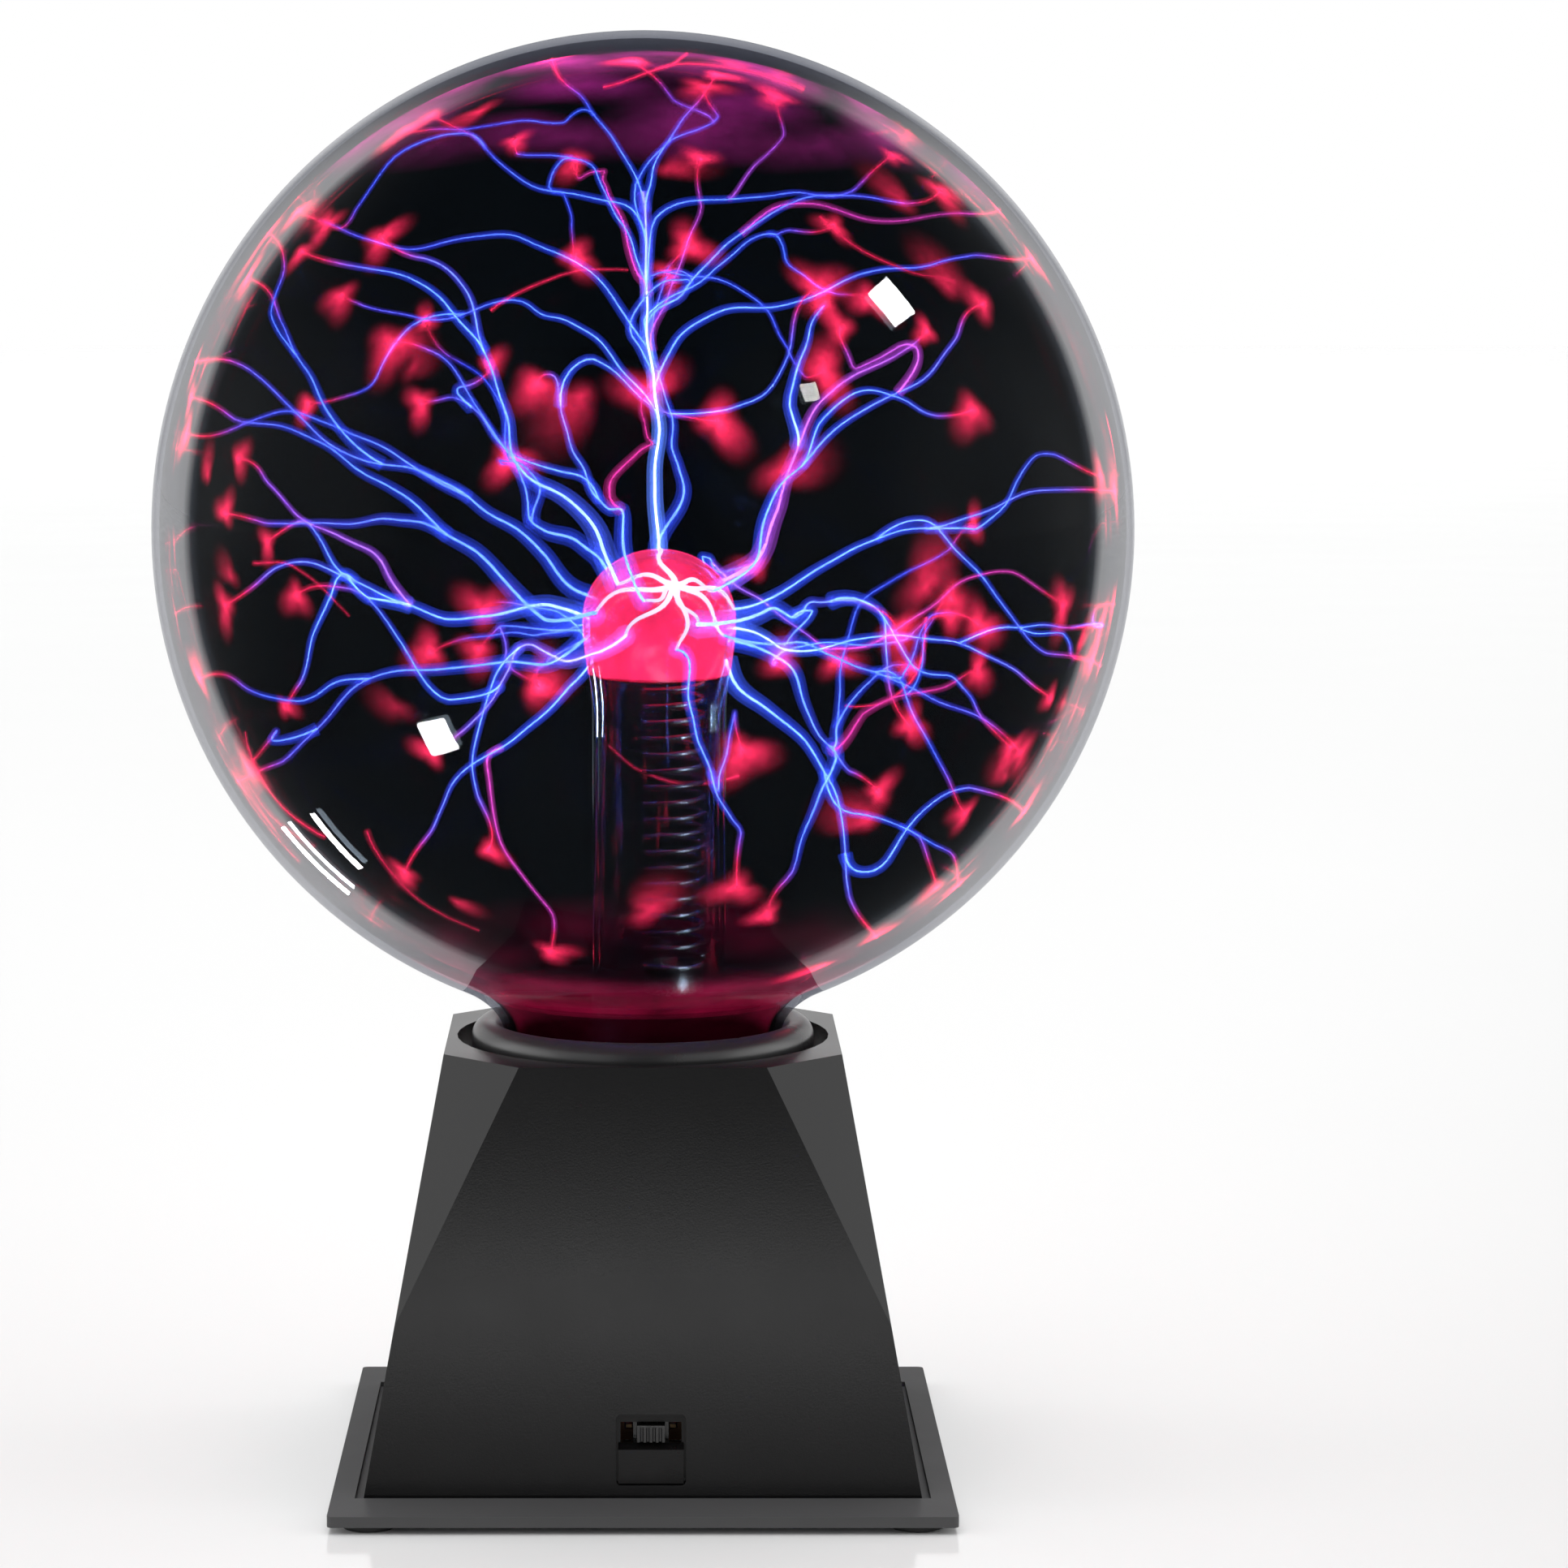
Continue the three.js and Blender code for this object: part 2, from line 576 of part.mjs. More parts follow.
// Frames that lie on the sloping front and back faces: local Z runs up the face and local Y
// runs towards the back of the stand.
const FACE_LEAN = Math.atan(SLOPE_Y);
const frontFrame = new THREE.Group();
frontFrame.position.set(WINDOW_X, -towerHalfY(WINDOW_Z), WINDOW_Z);
frontFrame.rotation.x = -FACE_LEAN;
frontFrame.updateMatrix();
const backFrame = new THREE.Group();
backFrame.position.set(JACK_X, towerHalfY(JACK_Z), JACK_Z);
backFrame.rotation.x = FACE_LEAN;
backFrame.updateMatrix();
plasmaBall.add(frontFrame, backFrame);

const alongY = (geometry) => geometry.rotateX(-Math.PI / 2);
const windowShape = roundedRectangle(WINDOW_HALF_X, WINDOW_HALF_Z, WINDOW_CORNER);
const windowCut = plate(windowShape, -TOWER_WALL - 1, 1)
  .rotateX(Math.PI / 2).applyMatrix4(frontFrame.matrix);
const jackHole = alongY(rod(JACK_BARREL_RADIUS + 0.4, -6, 3, 0, 0, 20)).applyMatrix4(backFrame.matrix);

const bossPlaces = CORNERS.map(([sx, sy]) => [sx * BASE_SCREW_X, sy * BASE_SCREW_Y]);
const bossFootZ = PLATFORM_TOP_Z + GAP;
const baseHoleRadius = BASE_SCREW_RADIUS + GAP;

function towerShell() {
  const cavity = towerForm(TOWER_WALL, TOWER_EDGE_Z - 1, DECK_FOOT_Z);
  const walls = cut(towerForm(0, TOWER_EDGE_Z, TOWER_TOP_Z), cavity);
  const midWall = towerForm(TOWER_WALL / 2, TOWER_EDGE_Z, DECK_FOOT_Z);
  const bosses = bossPlaces.map(([x, y]) => {
    const farX = Math.sign(x) * TOWER_FOOT_HALF_X;
    const farY = Math.sign(y) * TOWER_FOOT_HALF_Y;
    const ribX = block(
      Math.min(x, farX), Math.max(x, farX), y - BOSS_RIB_HALF, y + BOSS_RIB_HALF, bossFootZ, BOSS_TOP_Z);
    const ribY = block(
      x - BOSS_RIB_HALF, x + BOSS_RIB_HALF, Math.min(y, farY), Math.max(y, farY), bossFootZ, BOSS_TOP_Z);
    const post = joined(solid(rod(BOSS_RADIUS, bossFootZ, BOSS_TOP_Z, x, y)), solid(ribX), solid(ribY));
    return cut(
      post.intersect(midWall), solid(rod(baseHoleRadius, 0, BASE_SCREW_TOP_Z + 1, x, y, 12)));
  });
  const clampPilots = clampScrewPlaces.map(
    ([x, y]) => solid(rod(clampHoleRadius, DECK_FOOT_Z - 1, clampScrewTopZ + GAP, x, y, 12)));
  return cut(joined(walls, ...bosses),
    solid(rod(RECESS_RADIUS, DECK_TOP_Z, TOWER_TOP_Z + 5, 0, 0, 44)),
    solid(rod(NECK_HOLE_RADIUS, DECK_FOOT_Z - 1, TOWER_TOP_Z, 0, 0, 32)),
    solid(windowCut), solid(jackHole), ...clampPilots);
}

piece('tower_shell', towerShell(), satinPlastic());

// ---------------------------------------------------------------- plinth, feet and base screws

const boardPosts = CORNERS.map(([sx, sy]) => [sx * BOARD_SCREW_X, sy * BOARD_SCREW_Y]);
const footPlaces = CORNERS.map(([sx, sy]) => [sx * FOOT_X, sy * FOOT_Y]);
const boardHoleRadius = BOARD_SCREW_RADIUS + GAP;

function plinthPlate() {
  const outline = roundedRectangle(PLINTH_HALF, PLINTH_HALF, PLINTH_CORNER);
  const slab = solid(plate(outline, PLINTH_FOOT_Z, PLINTH_TOP_Z));
  const moat = solid(block(-MOAT_HALF_X, MOAT_HALF_X, -MOAT_HALF_Y, MOAT_HALF_Y, MOAT_FLOOR_Z, 10));
  const platform = solid(block(-PLATFORM_HALF_X, PLATFORM_HALF_X, -PLATFORM_HALF_Y, PLATFORM_HALF_Y,
    PLINTH_FOOT_Z + 0.5, PLATFORM_TOP_Z));
  const posts = boardPosts.map(
    ([x, y]) => solid(rod(BOARD_POST_RADIUS, PLINTH_FOOT_Z + 1, BOARD_FOOT_Z - GAP, x, y, 12)));
  const cuts = [];
  for (const [x, y] of bossPlaces) {
    cuts.push(
      solid(rod(baseHoleRadius, 0, 10, x, y, 12)),
      solid(rod(BASE_SCREW_HEAD_RADIUS + 0.4, 0, PLINTH_FOOT_Z + COUNTERBORE_DEPTH, x, y, 14)));
  }
  for (const [x, y] of boardPosts) cuts.push(solid(rod(boardHoleRadius, 6, BOARD_FOOT_Z, x, y, 12)));
  for (const [x, y] of footPlaces) {
    cuts.push(solid(rod(FOOT_RADIUS + GAP, 0, PLINTH_FOOT_Z + FOOT_RECESS, x, y, 20)));
  }
  for (let vent = -VENTS_EACH_SIDE; vent <= VENTS_EACH_SIDE; vent += 1) {
    const x = vent * VENT_PITCH;
    cuts.push(solid(block(x - VENT_HALF_X, x + VENT_HALF_X, -VENT_HALF_Y, VENT_HALF_Y, 0, 10)));
  }
  return cut(joined(cut(slab, moat), platform, ...posts), ...cuts);
}

piece('plinth_plate', plinthPlate(), plinthPlastic());

footPlaces.forEach(([x, y], i) => {
  const topZ = PLINTH_FOOT_Z + FOOT_RECESS - GAP;
  const body = turned([
    [0, 0], [FOOT_RADIUS - 0.6, 0], [FOOT_RADIUS, 0.6], [FOOT_RADIUS, topZ], [0, topZ]], 20);
  piece(`foot_${i + 1}`, body, rubber()).position.set(x, y, 0);
});

bossPlaces.forEach(([x, y], i) => {
  const headFootZ = PLINTH_FOOT_Z + 0.2;
  const body = screw(
    BASE_SCREW_HEAD_RADIUS, 1.4, BASE_SCREW_RADIUS, BASE_SCREW_TOP_Z - headFootZ, 0.8);
  piece(`base_screw_${i + 1}`, body, steel()).position.set(x, y, headFootZ);
});

// ---------------------------------------------------------------- slide switch

const slotHalfX = KNOB_HALF_X + KNOB_TRAVEL + 0.35;
const slotHalfZ = KNOB_HALF_Z + GAP;
const switchHoleRadius = SWITCH_SCREW_RADIUS + GAP;
const switchHole = (from, to, side, z) => solid(
  alongY(rod(switchHoleRadius, from, to, 0, 0, 12)).translate(side * SWITCH_SCREW_X, 0, z));

// Backing plate behind the window, with a proud lower block whose top edge slopes back.
function switchBezel() {
  const back = solid(block(-BEZEL_HALF_X, BEZEL_HALF_X, BEZEL_FRONT, BEZEL_BACK, BEZEL_FOOT, BEZEL_TOP));
  const ledgeBack = BEZEL_FRONT + 0.5;
  const ledge = solid(barAlongX([
    [LEDGE_FRONT, LEDGE_FOOT], LEDGE_EDGE, LEDGE_CREST,
    [ledgeBack, LEDGE_CREST[1]], [ledgeBack, LEDGE_FOOT],
  ], LEDGE_HALF_X));
  const slot = solid(block(
    -slotHalfX, slotHalfX, 0, 10, KNOB_UP - slotHalfZ, KNOB_UP + slotHalfZ));
  const pilots = SIDES.map((side) => switchHole(BEZEL_FRONT + 0.6, BEZEL_BACK + 1, side, KNOB_UP));
  return cut(joined(back, ledge), slot, ...pilots);
}

piece('switch_bezel', switchBezel(), blackPlastic(), frontFrame);

const switchFrame = new THREE.Group();
switchFrame.position.z = KNOB_UP;
frontFrame.add(switchFrame);

// Finger end with upright ribs under a top cap, and a wide slider inside the case.
function switchKnob() {
  const ribs = [];
  const ribReach = KNOB_HALF_X - KNOB_RIB_HALF;
  const ribBack = KNOB_NECK_FRONT + 0.3;
  for (let i = 0; i < KNOB_RIBS; i += 1) {
    const x = -ribReach + (i * 2 * ribReach) / (KNOB_RIBS - 1);
    ribs.push(solid(block(
      x - KNOB_RIB_HALF, x + KNOB_RIB_HALF, KNOB_FRONT, ribBack, -KNOB_HALF_Z, KNOB_HALF_Z - KNOB_CAP / 2)));
  }
  const neckBack = SLIDER_FRONT + 0.3;
  return joined(
    solid(block(-KNOB_HALF_X, KNOB_HALF_X, KNOB_NECK_FRONT, neckBack, -KNOB_HALF_Z, KNOB_HALF_Z)),
    solid(block(-KNOB_HALF_X, KNOB_HALF_X, KNOB_FRONT, ribBack, KNOB_HALF_Z - KNOB_CAP, KNOB_HALF_Z)),
    ...ribs,
    solid(block(
      -SLIDER_HALF_X, SLIDER_HALF_X, SLIDER_FRONT, SLIDER_BACK, -SLIDER_HALF_Z, SLIDER_HALF_Z)));
}

piece('switch_knob', switchKnob(), blackPlastic(), switchFrame);
const wiperFront = SLIDER_BACK + GAP;
const wiperHalfX = 2.4;
const wiperTips = [[-wiperHalfX, -1.6], [1.6, wiperHalfX]];
piece('switch_wiper', joined(
  solid(block(-wiperHalfX, wiperHalfX, wiperFront, wiperFront + 0.3, -2, 2)),
  ...wiperTips.map(([x0, x1]) => solid(block(x0, x1, wiperFront + 0.2, wiperFront + 0.7, -1.2, 1.2)))),
brass(), switchFrame);

function switchCase() {
  const ears = block(
    -EAR_HALF_X, EAR_HALF_X, CASE_FRONT, CASE_FRONT + CASE_WALL, -EAR_HALF_Z, EAR_HALF_Z);
  const outer = block(-CASE_HALF_X, CASE_HALF_X, CASE_FRONT, CASE_BACK, -CASE_HALF_Z, CASE_HALF_Z);
  const inner = block(-CASE_HALF_X + CASE_WALL, CASE_HALF_X - CASE_WALL, CASE_FRONT + CASE_WALL,
    CASE_BACK + 1, -CASE_HALF_Z + CASE_WALL, CASE_HALF_Z - CASE_WALL);
  const slot = block(-slotHalfX, slotHalfX, 0, CASE_FRONT + 2, -slotHalfZ, slotHalfZ);
  const holes = SIDES.map((side) => switchHole(CASE_FRONT - 2, CASE_BACK, side, 0));
  return cut(joined(solid(ears), solid(outer)), solid(inner), solid(slot), ...holes);
}

piece('switch_case', switchCase(), steel(), switchFrame);

const terminalX = [-4.5, -1.5, 1.5, 4.5];
const terminalFront = CONTACT_BOARD_FRONT - GAP;
const terminalBack = CONTACT_BOARD_BACK + 3.5;
const terminalHoles = terminalX.map((x) => solid(block(
  x - TERMINAL_HALF_X - GAP, x + TERMINAL_HALF_X + GAP, CONTACT_BOARD_FRONT - 1, CONTACT_BOARD_BACK + 1,
  -TERMINAL_HALF_Z - 0.35, TERMINAL_HALF_Z + 0.35)));
piece('switch_contact_board', cut(
  solid(block(-CONTACT_BOARD_HALF_X, CONTACT_BOARD_HALF_X, CONTACT_BOARD_FRONT, CONTACT_BOARD_BACK,
    -CONTACT_BOARD_HALF_Z, CONTACT_BOARD_HALF_Z)),
  ...terminalHoles), phenolic(), switchFrame);
terminalX.forEach((x, i) => {
  const blade = block(x - TERMINAL_HALF_X, x + TERMINAL_HALF_X, terminalFront, terminalBack,
    -TERMINAL_HALF_Z, TERMINAL_HALF_Z);
  piece(`switch_terminal_${i + 1}`, blade, brass(), switchFrame);
});

SIDES.forEach((side, i) => {
  const headBack = CASE_FRONT + CASE_WALL + GAP + SWITCH_SCREW_HEAD;
  const body = screw(1.9, SWITCH_SCREW_HEAD, SWITCH_SCREW_RADIUS, headBack - BEZEL_FRONT - 0.9);
  const mesh = piece(`switch_screw_${i + 1}`, body, steel(), switchFrame);
  mesh.rotation.x = Math.PI / 2;
  mesh.position.set(side * SWITCH_SCREW_X, headBack, 0);
});

// ---------------------------------------------------------------- low-voltage inlet

const jackFloor = JACK_REAR + JACK_REAR_WALL;
const [contactNear, contactFar] = JACK_CONTACT;
const contactGap = JACK_CONTACT_HALF + GAP;
piece('dc_jack_body', cut(
  solid(alongY(turned([
    [0, JACK_REAR], [JACK_BARREL_RADIUS, JACK_REAR], [JACK_BARREL_RADIUS, GAP], [JACK_FLANGE_RADIUS, GAP],
    [JACK_FLANGE_RADIUS, JACK_FLANGE - JACK_FLANGE_EASE],
    [JACK_FLANGE_RADIUS - JACK_FLANGE_EASE, JACK_FLANGE], [JACK_BORE_RADIUS, JACK_FLANGE],
    [JACK_BORE_RADIUS, jackFloor], [0, jackFloor],
  ], 20))),
  solid(alongY(rod(JACK_PIN_RADIUS + GAP, -4, 4, 0, 0, 12)).translate(0, JACK_REAR, 0)),
  solid(block(
    contactNear - GAP, contactFar + GAP, JACK_REAR - 1, JACK_REAR + 4, -contactGap, contactGap))),
blackPlastic(), backFrame);
piece('dc_jack_nut', cut(
  solid(alongY(rod(JACK_NUT_RADIUS, -4.8, -2.6, 0, 0, 6))),
  solid(alongY(rod(JACK_BARREL_RADIUS + GAP, -6, -1, 0, 0, 20)))), steel(), backFrame);
piece('dc_jack_pin', alongY(turned([
  [0, JACK_REAR - JACK_TAIL], [JACK_PIN_RADIUS, JACK_REAR - JACK_TAIL], [JACK_PIN_RADIUS, 0],
  [JACK_PIN_RADIUS - 0.3, 0.4], [0, 0.4],
], 14)), steel(), backFrame);
const contact = block(
  contactNear, contactFar, JACK_REAR - JACK_TAIL, -2, -JACK_CONTACT_HALF, JACK_CONTACT_HALF);
piece('dc_jack_contact', contact, brass(), backFrame);

// ---------------------------------------------------------------- driver board

piece('driver_board', cut(
  solid(block(-BOARD_HALF_X, BOARD_HALF_X, -BOARD_HALF_Y, BOARD_HALF_Y, BOARD_FOOT_Z, BOARD_TOP_Z)),
  ...boardPosts.map(([x, y]) => solid(rod(boardHoleRadius, BOARD_FOOT_Z - 1, BOARD_TOP_Z + 1, x, y, 12)))),
boardGreen());

boardPosts.forEach(([x, y], i) => {
  const mesh = piece(`board_screw_${i + 1}`, screw(2.4, BOARD_SCREW_HEAD, BOARD_SCREW_RADIUS, 10), steel());
  mesh.rotation.x = Math.PI;
  mesh.position.set(x, y, PARTS_FOOT_Z + BOARD_SCREW_HEAD);
});

const coilLegX = CORE_X - LEG_SPREAD;
const coreTopZ = PARTS_FOOT_Z + 2 * CORE_HALF_HEIGHT + GAP;
const bobbinFootZ = PARTS_FOOT_Z + YOKE_HEIGHT + GAP;
const bobbinTopZ = coreTopZ - YOKE_HEIGHT - GAP;

// One U-shaped ferrite half, legs up, standing on z = 0.
function ferriteHalf() {
  const reach = LEG_SPREAD + LEG_HALF;
  const window = LEG_SPREAD - LEG_HALF;
  return cut(
    solid(block(-reach, reach, -LEG_HALF, LEG_HALF, 0, CORE_HALF_HEIGHT)),
    solid(block(-window, window, -LEG_HALF - 1, LEG_HALF + 1, YOKE_HEIGHT, CORE_HALF_HEIGHT + 1)));
}

piece('core_lower', ferriteHalf(), ferrite()).position.set(CORE_X, 0, PARTS_FOOT_Z);
const upperCore = piece('core_upper', ferriteHalf(), ferrite());
upperCore.rotation.x = Math.PI;
upperCore.position.set(CORE_X, 0, coreTopZ);

piece('hv_bobbin', turned([
  [BOBBIN_BORE_RADIUS, bobbinFootZ], [BOBBIN_FLANGE_RADIUS, bobbinFootZ],
  [BOBBIN_FLANGE_RADIUS, bobbinFootZ + BOBBIN_FLANGE], [BOBBIN_TUBE_RADIUS, bobbinFootZ + BOBBIN_FLANGE],
  [BOBBIN_TUBE_RADIUS, bobbinTopZ - BOBBIN_FLANGE], [BOBBIN_FLANGE_RADIUS, bobbinTopZ - BOBBIN_FLANGE],
  [BOBBIN_FLANGE_RADIUS, bobbinTopZ], [BOBBIN_BORE_RADIUS, bobbinTopZ],
], 24), wireWhite()).position.x = coilLegX;
const coilInset = BOBBIN_FLANGE + GAP;
piece('hv_coil', ring(
  BOBBIN_TUBE_RADIUS + GAP, HV_COIL_RADIUS, bobbinFootZ + coilInset, bobbinTopZ - coilInset, 24),
copper()).position.x = coilLegX;
piece('primary_coil', ring(BOBBIN_BORE_RADIUS, PRIMARY_RADIUS, PRIMARY_FOOT_Z, PRIMARY_TOP_Z, 20), copper())
  .position.x = CORE_X + LEG_SPREAD;

// ---------------------------------------------------------------- driver components

function heatSink() {
  const fins = [];
  for (let i = 0; i < SINK_FINS; i += 1) {
    const y = SINK_FRONT_Y + i * SINK_FIN_PITCH;
    fins.push(solid(block(...SINK_FIN, y, y + SINK_FIN_THICKNESS, PARTS_FOOT_Z, SINK_TOP_Z)));
  }
  return joined(
    solid(block(...SINK_PLATE, SINK_FRONT_Y, SINK_BACK_Y, PARTS_FOOT_Z, SINK_TOP_Z)), ...fins);
}

piece('heat_sink', heatSink(), aluminium());

const [transistorFront, transistorBack] = TRANSISTOR_FACE;
const transistorLegs = TRANSISTOR_LEGS_Y.map((y) => solid(block(
  ...TRANSISTOR_LEG_X, y - TRANSISTOR_LEG_HALF, y + TRANSISTOR_LEG_HALF,
  PARTS_FOOT_Z, TRANSISTOR_FOOT_Z + 0.5)));
piece('power_transistor', joined(
  solid(block(
    transistorFront, transistorBack, ...TRANSISTOR_Y, TRANSISTOR_FOOT_Z, TRANSISTOR_BODY_TOP_Z)),
  solid(block(TRANSISTOR_TAB_X, transistorBack, ...TRANSISTOR_Y,
    TRANSISTOR_BODY_TOP_Z - 0.5, TRANSISTOR_TAB_TOP_Z)),
  ...transistorLegs), blackPlastic());

piece('bulk_capacitor', turned([
  [0, PARTS_FOOT_Z], [BULK_RADIUS, PARTS_FOOT_Z], [BULK_RADIUS, BULK_TOP_Z - 0.5],
  [BULK_RADIUS - 0.6, BULK_TOP_Z], [0, BULK_TOP_Z]], 20), sleeveBlue()).position.set(28, 15, 0);
piece('film_capacitor', plate(roundedRectangle(6, 2.6, 1), PARTS_FOOT_Z, FILM_TOP_Z), filmYellow())
  .position.set(-22, 19, 0);

const [chipFrontY, chipBackY] = CHIP_Y;
const chipLegs = CHIP_LEGS_X.flatMap((x) => [[chipFrontY - 0.8, chipFrontY + 0.2],
  [chipBackY - 0.2, chipBackY + 0.8]].map(([y0, y1]) => solid(
  block(x - CHIP_LEG_HALF, x + CHIP_LEG_HALF, y0, y1, PARTS_FOOT_Z, CHIP_LEG_TOP_Z))));
piece('control_chip', joined(
  solid(block(...CHIP_X, chipFrontY, chipBackY, PARTS_FOOT_Z + 0.6, CHIP_TOP_Z)), ...chipLegs),
blackPlastic());
piece('microphone', turned([
  [0, PARTS_FOOT_Z], [MICROPHONE_RADIUS, PARTS_FOOT_Z], [MICROPHONE_RADIUS, MICROPHONE_TOP_Z - 0.5],
  [MICROPHONE_RADIUS - 0.6, MICROPHONE_TOP_Z], [0, MICROPHONE_TOP_Z]], 20), aluminium())
  .position.set(8, 18, 0);

// ---------------------------------------------------------------- internal wiring

piece('hv_lead', lead([
  [coilLegX, -14.3, 42], [coilLegX, -14.4, 54], [-13, -9.5, 67],
  [1, -2, 71.5], [SPRING_X, 0, 79], [SPRING_X, 0, 89], [SPRING_X, 0, FERRULE_FOOT_Z - 2 * GAP],
], 1.2, 22), wireRed());

const jackTailY = towerHalfY(JACK_Z) - 16.4;
const solderZ = PARTS_FOOT_Z + 0.2;
piece('supply_lead_positive', lead([
  [0, jackTailY, 12], [-1, jackTailY - 0.8, 14.4], [-3.6, 27.4, 18.6],
  [-6, 23.4, 20], [-6.6, 22, 18.4], [-6.6, 22, solderZ],
]), wireRed());
piece('supply_lead_negative', lead([
  [3.4, jackTailY - 0.4, 12], [5, jackTailY - 1.2, 14.6], [9.6, 28.4, 19],
  [16, 23.6, 20.6], [17.5, 22, 18.6], [17.5, 22, solderZ],
]), wireBlack());
[0, 3].forEach((terminal, i) => {
  const x = WINDOW_X + terminalX[terminal];
  const padX = x + 1 - i * 2;
  const body = lead([
    [x, -30.2, 15.4], [(x + padX) / 2, -28.4, 18.6], [padX, -25, 20.2],
    [padX, -22.8, 18.6], [padX, -22.8, solderZ],
  ], 0.7);
  piece(`switch_lead_${i + 1}`, body, i ? wireWhite() : wireRed());
});

export default plasmaBall;
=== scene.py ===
"""Looks of the plasma ball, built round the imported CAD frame.

Metres, +Z up, the front faces -Y. Places come from the frame's own boxes, apart from the camera,
the lamps, and the few sizes of the glass and the gasket that no box gives.
"""
import json
import math
import random

import bmesh
import bpy
import numpy as np
from mathutils import Matrix, Quaternion, Vector


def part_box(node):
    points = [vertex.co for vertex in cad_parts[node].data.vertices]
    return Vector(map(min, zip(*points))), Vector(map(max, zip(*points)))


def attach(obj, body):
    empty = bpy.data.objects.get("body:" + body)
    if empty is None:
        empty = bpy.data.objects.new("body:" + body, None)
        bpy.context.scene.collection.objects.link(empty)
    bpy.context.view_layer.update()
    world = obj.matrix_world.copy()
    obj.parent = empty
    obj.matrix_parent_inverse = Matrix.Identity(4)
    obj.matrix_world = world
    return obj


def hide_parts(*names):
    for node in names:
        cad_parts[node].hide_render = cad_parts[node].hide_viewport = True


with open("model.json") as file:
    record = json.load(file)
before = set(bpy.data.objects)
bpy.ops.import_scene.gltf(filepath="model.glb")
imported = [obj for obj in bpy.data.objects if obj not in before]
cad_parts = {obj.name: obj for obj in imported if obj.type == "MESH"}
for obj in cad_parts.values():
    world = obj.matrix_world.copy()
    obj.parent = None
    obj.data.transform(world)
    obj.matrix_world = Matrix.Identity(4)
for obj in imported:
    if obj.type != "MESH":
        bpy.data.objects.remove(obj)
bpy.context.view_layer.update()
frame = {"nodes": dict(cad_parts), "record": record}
nodes = frame["nodes"]
scene = bpy.context.scene

MM = 0.001
BODY = "base"
WELD_DISTANCE = 1e-6
TINY = 1e-6


# ------------------------------------------------------------------ places from the frame

def middle(node):
    low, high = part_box(node)
    return (low + high) / 2


globe_low, globe_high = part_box("globe_glass")
GLOBE_R = globe_high.x
GLOBE_RISE = 102.74 * MM
GLOBE_Z = globe_high.z - GLOBE_RISE
GLOBE_WALL = 1.6 * MM
NECK_R = 29.0 * MM
NECK_START_Z = 90 * MM
NECK_END_R = 40.0 * MM
GLOBE_CENTRE = Vector((0, 0, GLOBE_Z))

stem_low, stem_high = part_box("stem_glass")
STEM_X = middle("electrode_liner").x
STEM_R = 13.9 * MM
STEM_WALL = 1.2 * MM
STEM_FOOT_R = 26.8 * MM
STEM_FOOT_EDGE = 1.2 * MM
STEM_WAIST_Z = 100 * MM
BULB_START_Z = 158 * MM
BULB_R = 15.8 * MM
BULB_Z = 178 * MM
LINER_FOOT_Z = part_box("electrode_liner")[0].z

spring_low, spring_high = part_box("contact_spring")
SPRING_X = middle("contact_spring").x
ferrule_low, ferrule_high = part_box("spring_ferrule")
gasket_low, gasket_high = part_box("neck_gasket")
GASKET_CROWN_R = 32.6 * MM
GASKET_CROWN_Z = 90.6 * MM
GASKET_INNER_TOP_Z = 91.6 * MM
GASKET_HEEL_R = 1.2 * MM


# ------------------------------------------------------------------ mesh helpers

def mesh_object(name, points, faces):
    """A smooth-shaded object."""
    mesh = bpy.data.meshes.new(name)
    mesh.from_pydata([tuple(p) for p in points], [], faces)
    mesh.validate()
    mesh.update()
    mesh.polygons.foreach_set("use_smooth", [True] * len(mesh.polygons))
    thing = bpy.data.objects.new(name, mesh)
    scene.collection.objects.link(thing)
    return thing


def ring_faces(rows, columns, wrap_rows, start=0):
    """Faces between rings of points. The last ring joins the first where wrap_rows is true."""
    faces = []
    for i in range(rows if wrap_rows else rows - 1):
        for j in range(columns):
            i2, j2 = (i + 1) % rows, (j + 1) % columns
            faces.append((
                start + i * columns + j, start + i * columns + j2,
                start + i2 * columns + j2, start + i2 * columns + j))
    return faces


def welded(thing):
    """Merges coincident points, as at a lathe's poles, and turns the faces outwards."""
    work = bmesh.new()
    work.from_mesh(thing.data)
    bmesh.ops.remove_doubles(work, verts=work.verts, dist=WELD_DISTANCE)
    bmesh.ops.dissolve_degenerate(work, dist=WELD_DISTANCE, edges=work.edges)
    bmesh.ops.recalc_face_normals(work, faces=work.faces)
    work.to_mesh(thing.data)
    work.free()
    return thing


def lathe(name, outline, segments, centre_x=0.0):
    """Turns (radius, height) points about an upright axis. The outline closes on itself, or
    starts and ends on the axis."""
    closed = not (outline[0][0] == 0 and outline[-1][0] == 0)
    points = []
    for radius, height in outline:
        for k in range(segments):
            angle = math.tau * k / segments
            points.append((centre_x + radius * math.cos(angle), radius * math.sin(angle), height))
    return welded(mesh_object(name, points, ring_faces(len(outline), segments, closed)))


def bezier(controls, steps):
    """Points along a quadratic or cubic Bezier curve."""
    points = []
    order = len(controls) - 1
    for k in range(steps + 1):
        t = k / steps
        total = [0.0] * len(controls[0])
        for i, control in enumerate(controls):
            weight = math.comb(order, i) * t ** i * (1 - t) ** (order - i)
            total = [a + weight * b for a, b in zip(total, control)]
        points.append(tuple(total))
    return points


def arc(centre, radii, start, end, steps):
    """Points along a stretch of an ellipse."""
    return [(centre[0] + radii[0] * math.cos(start + (end - start) * k / steps),
             centre[1] + radii[1] * math.sin(start + (end - start) * k / steps))
            for k in range(steps + 1)]


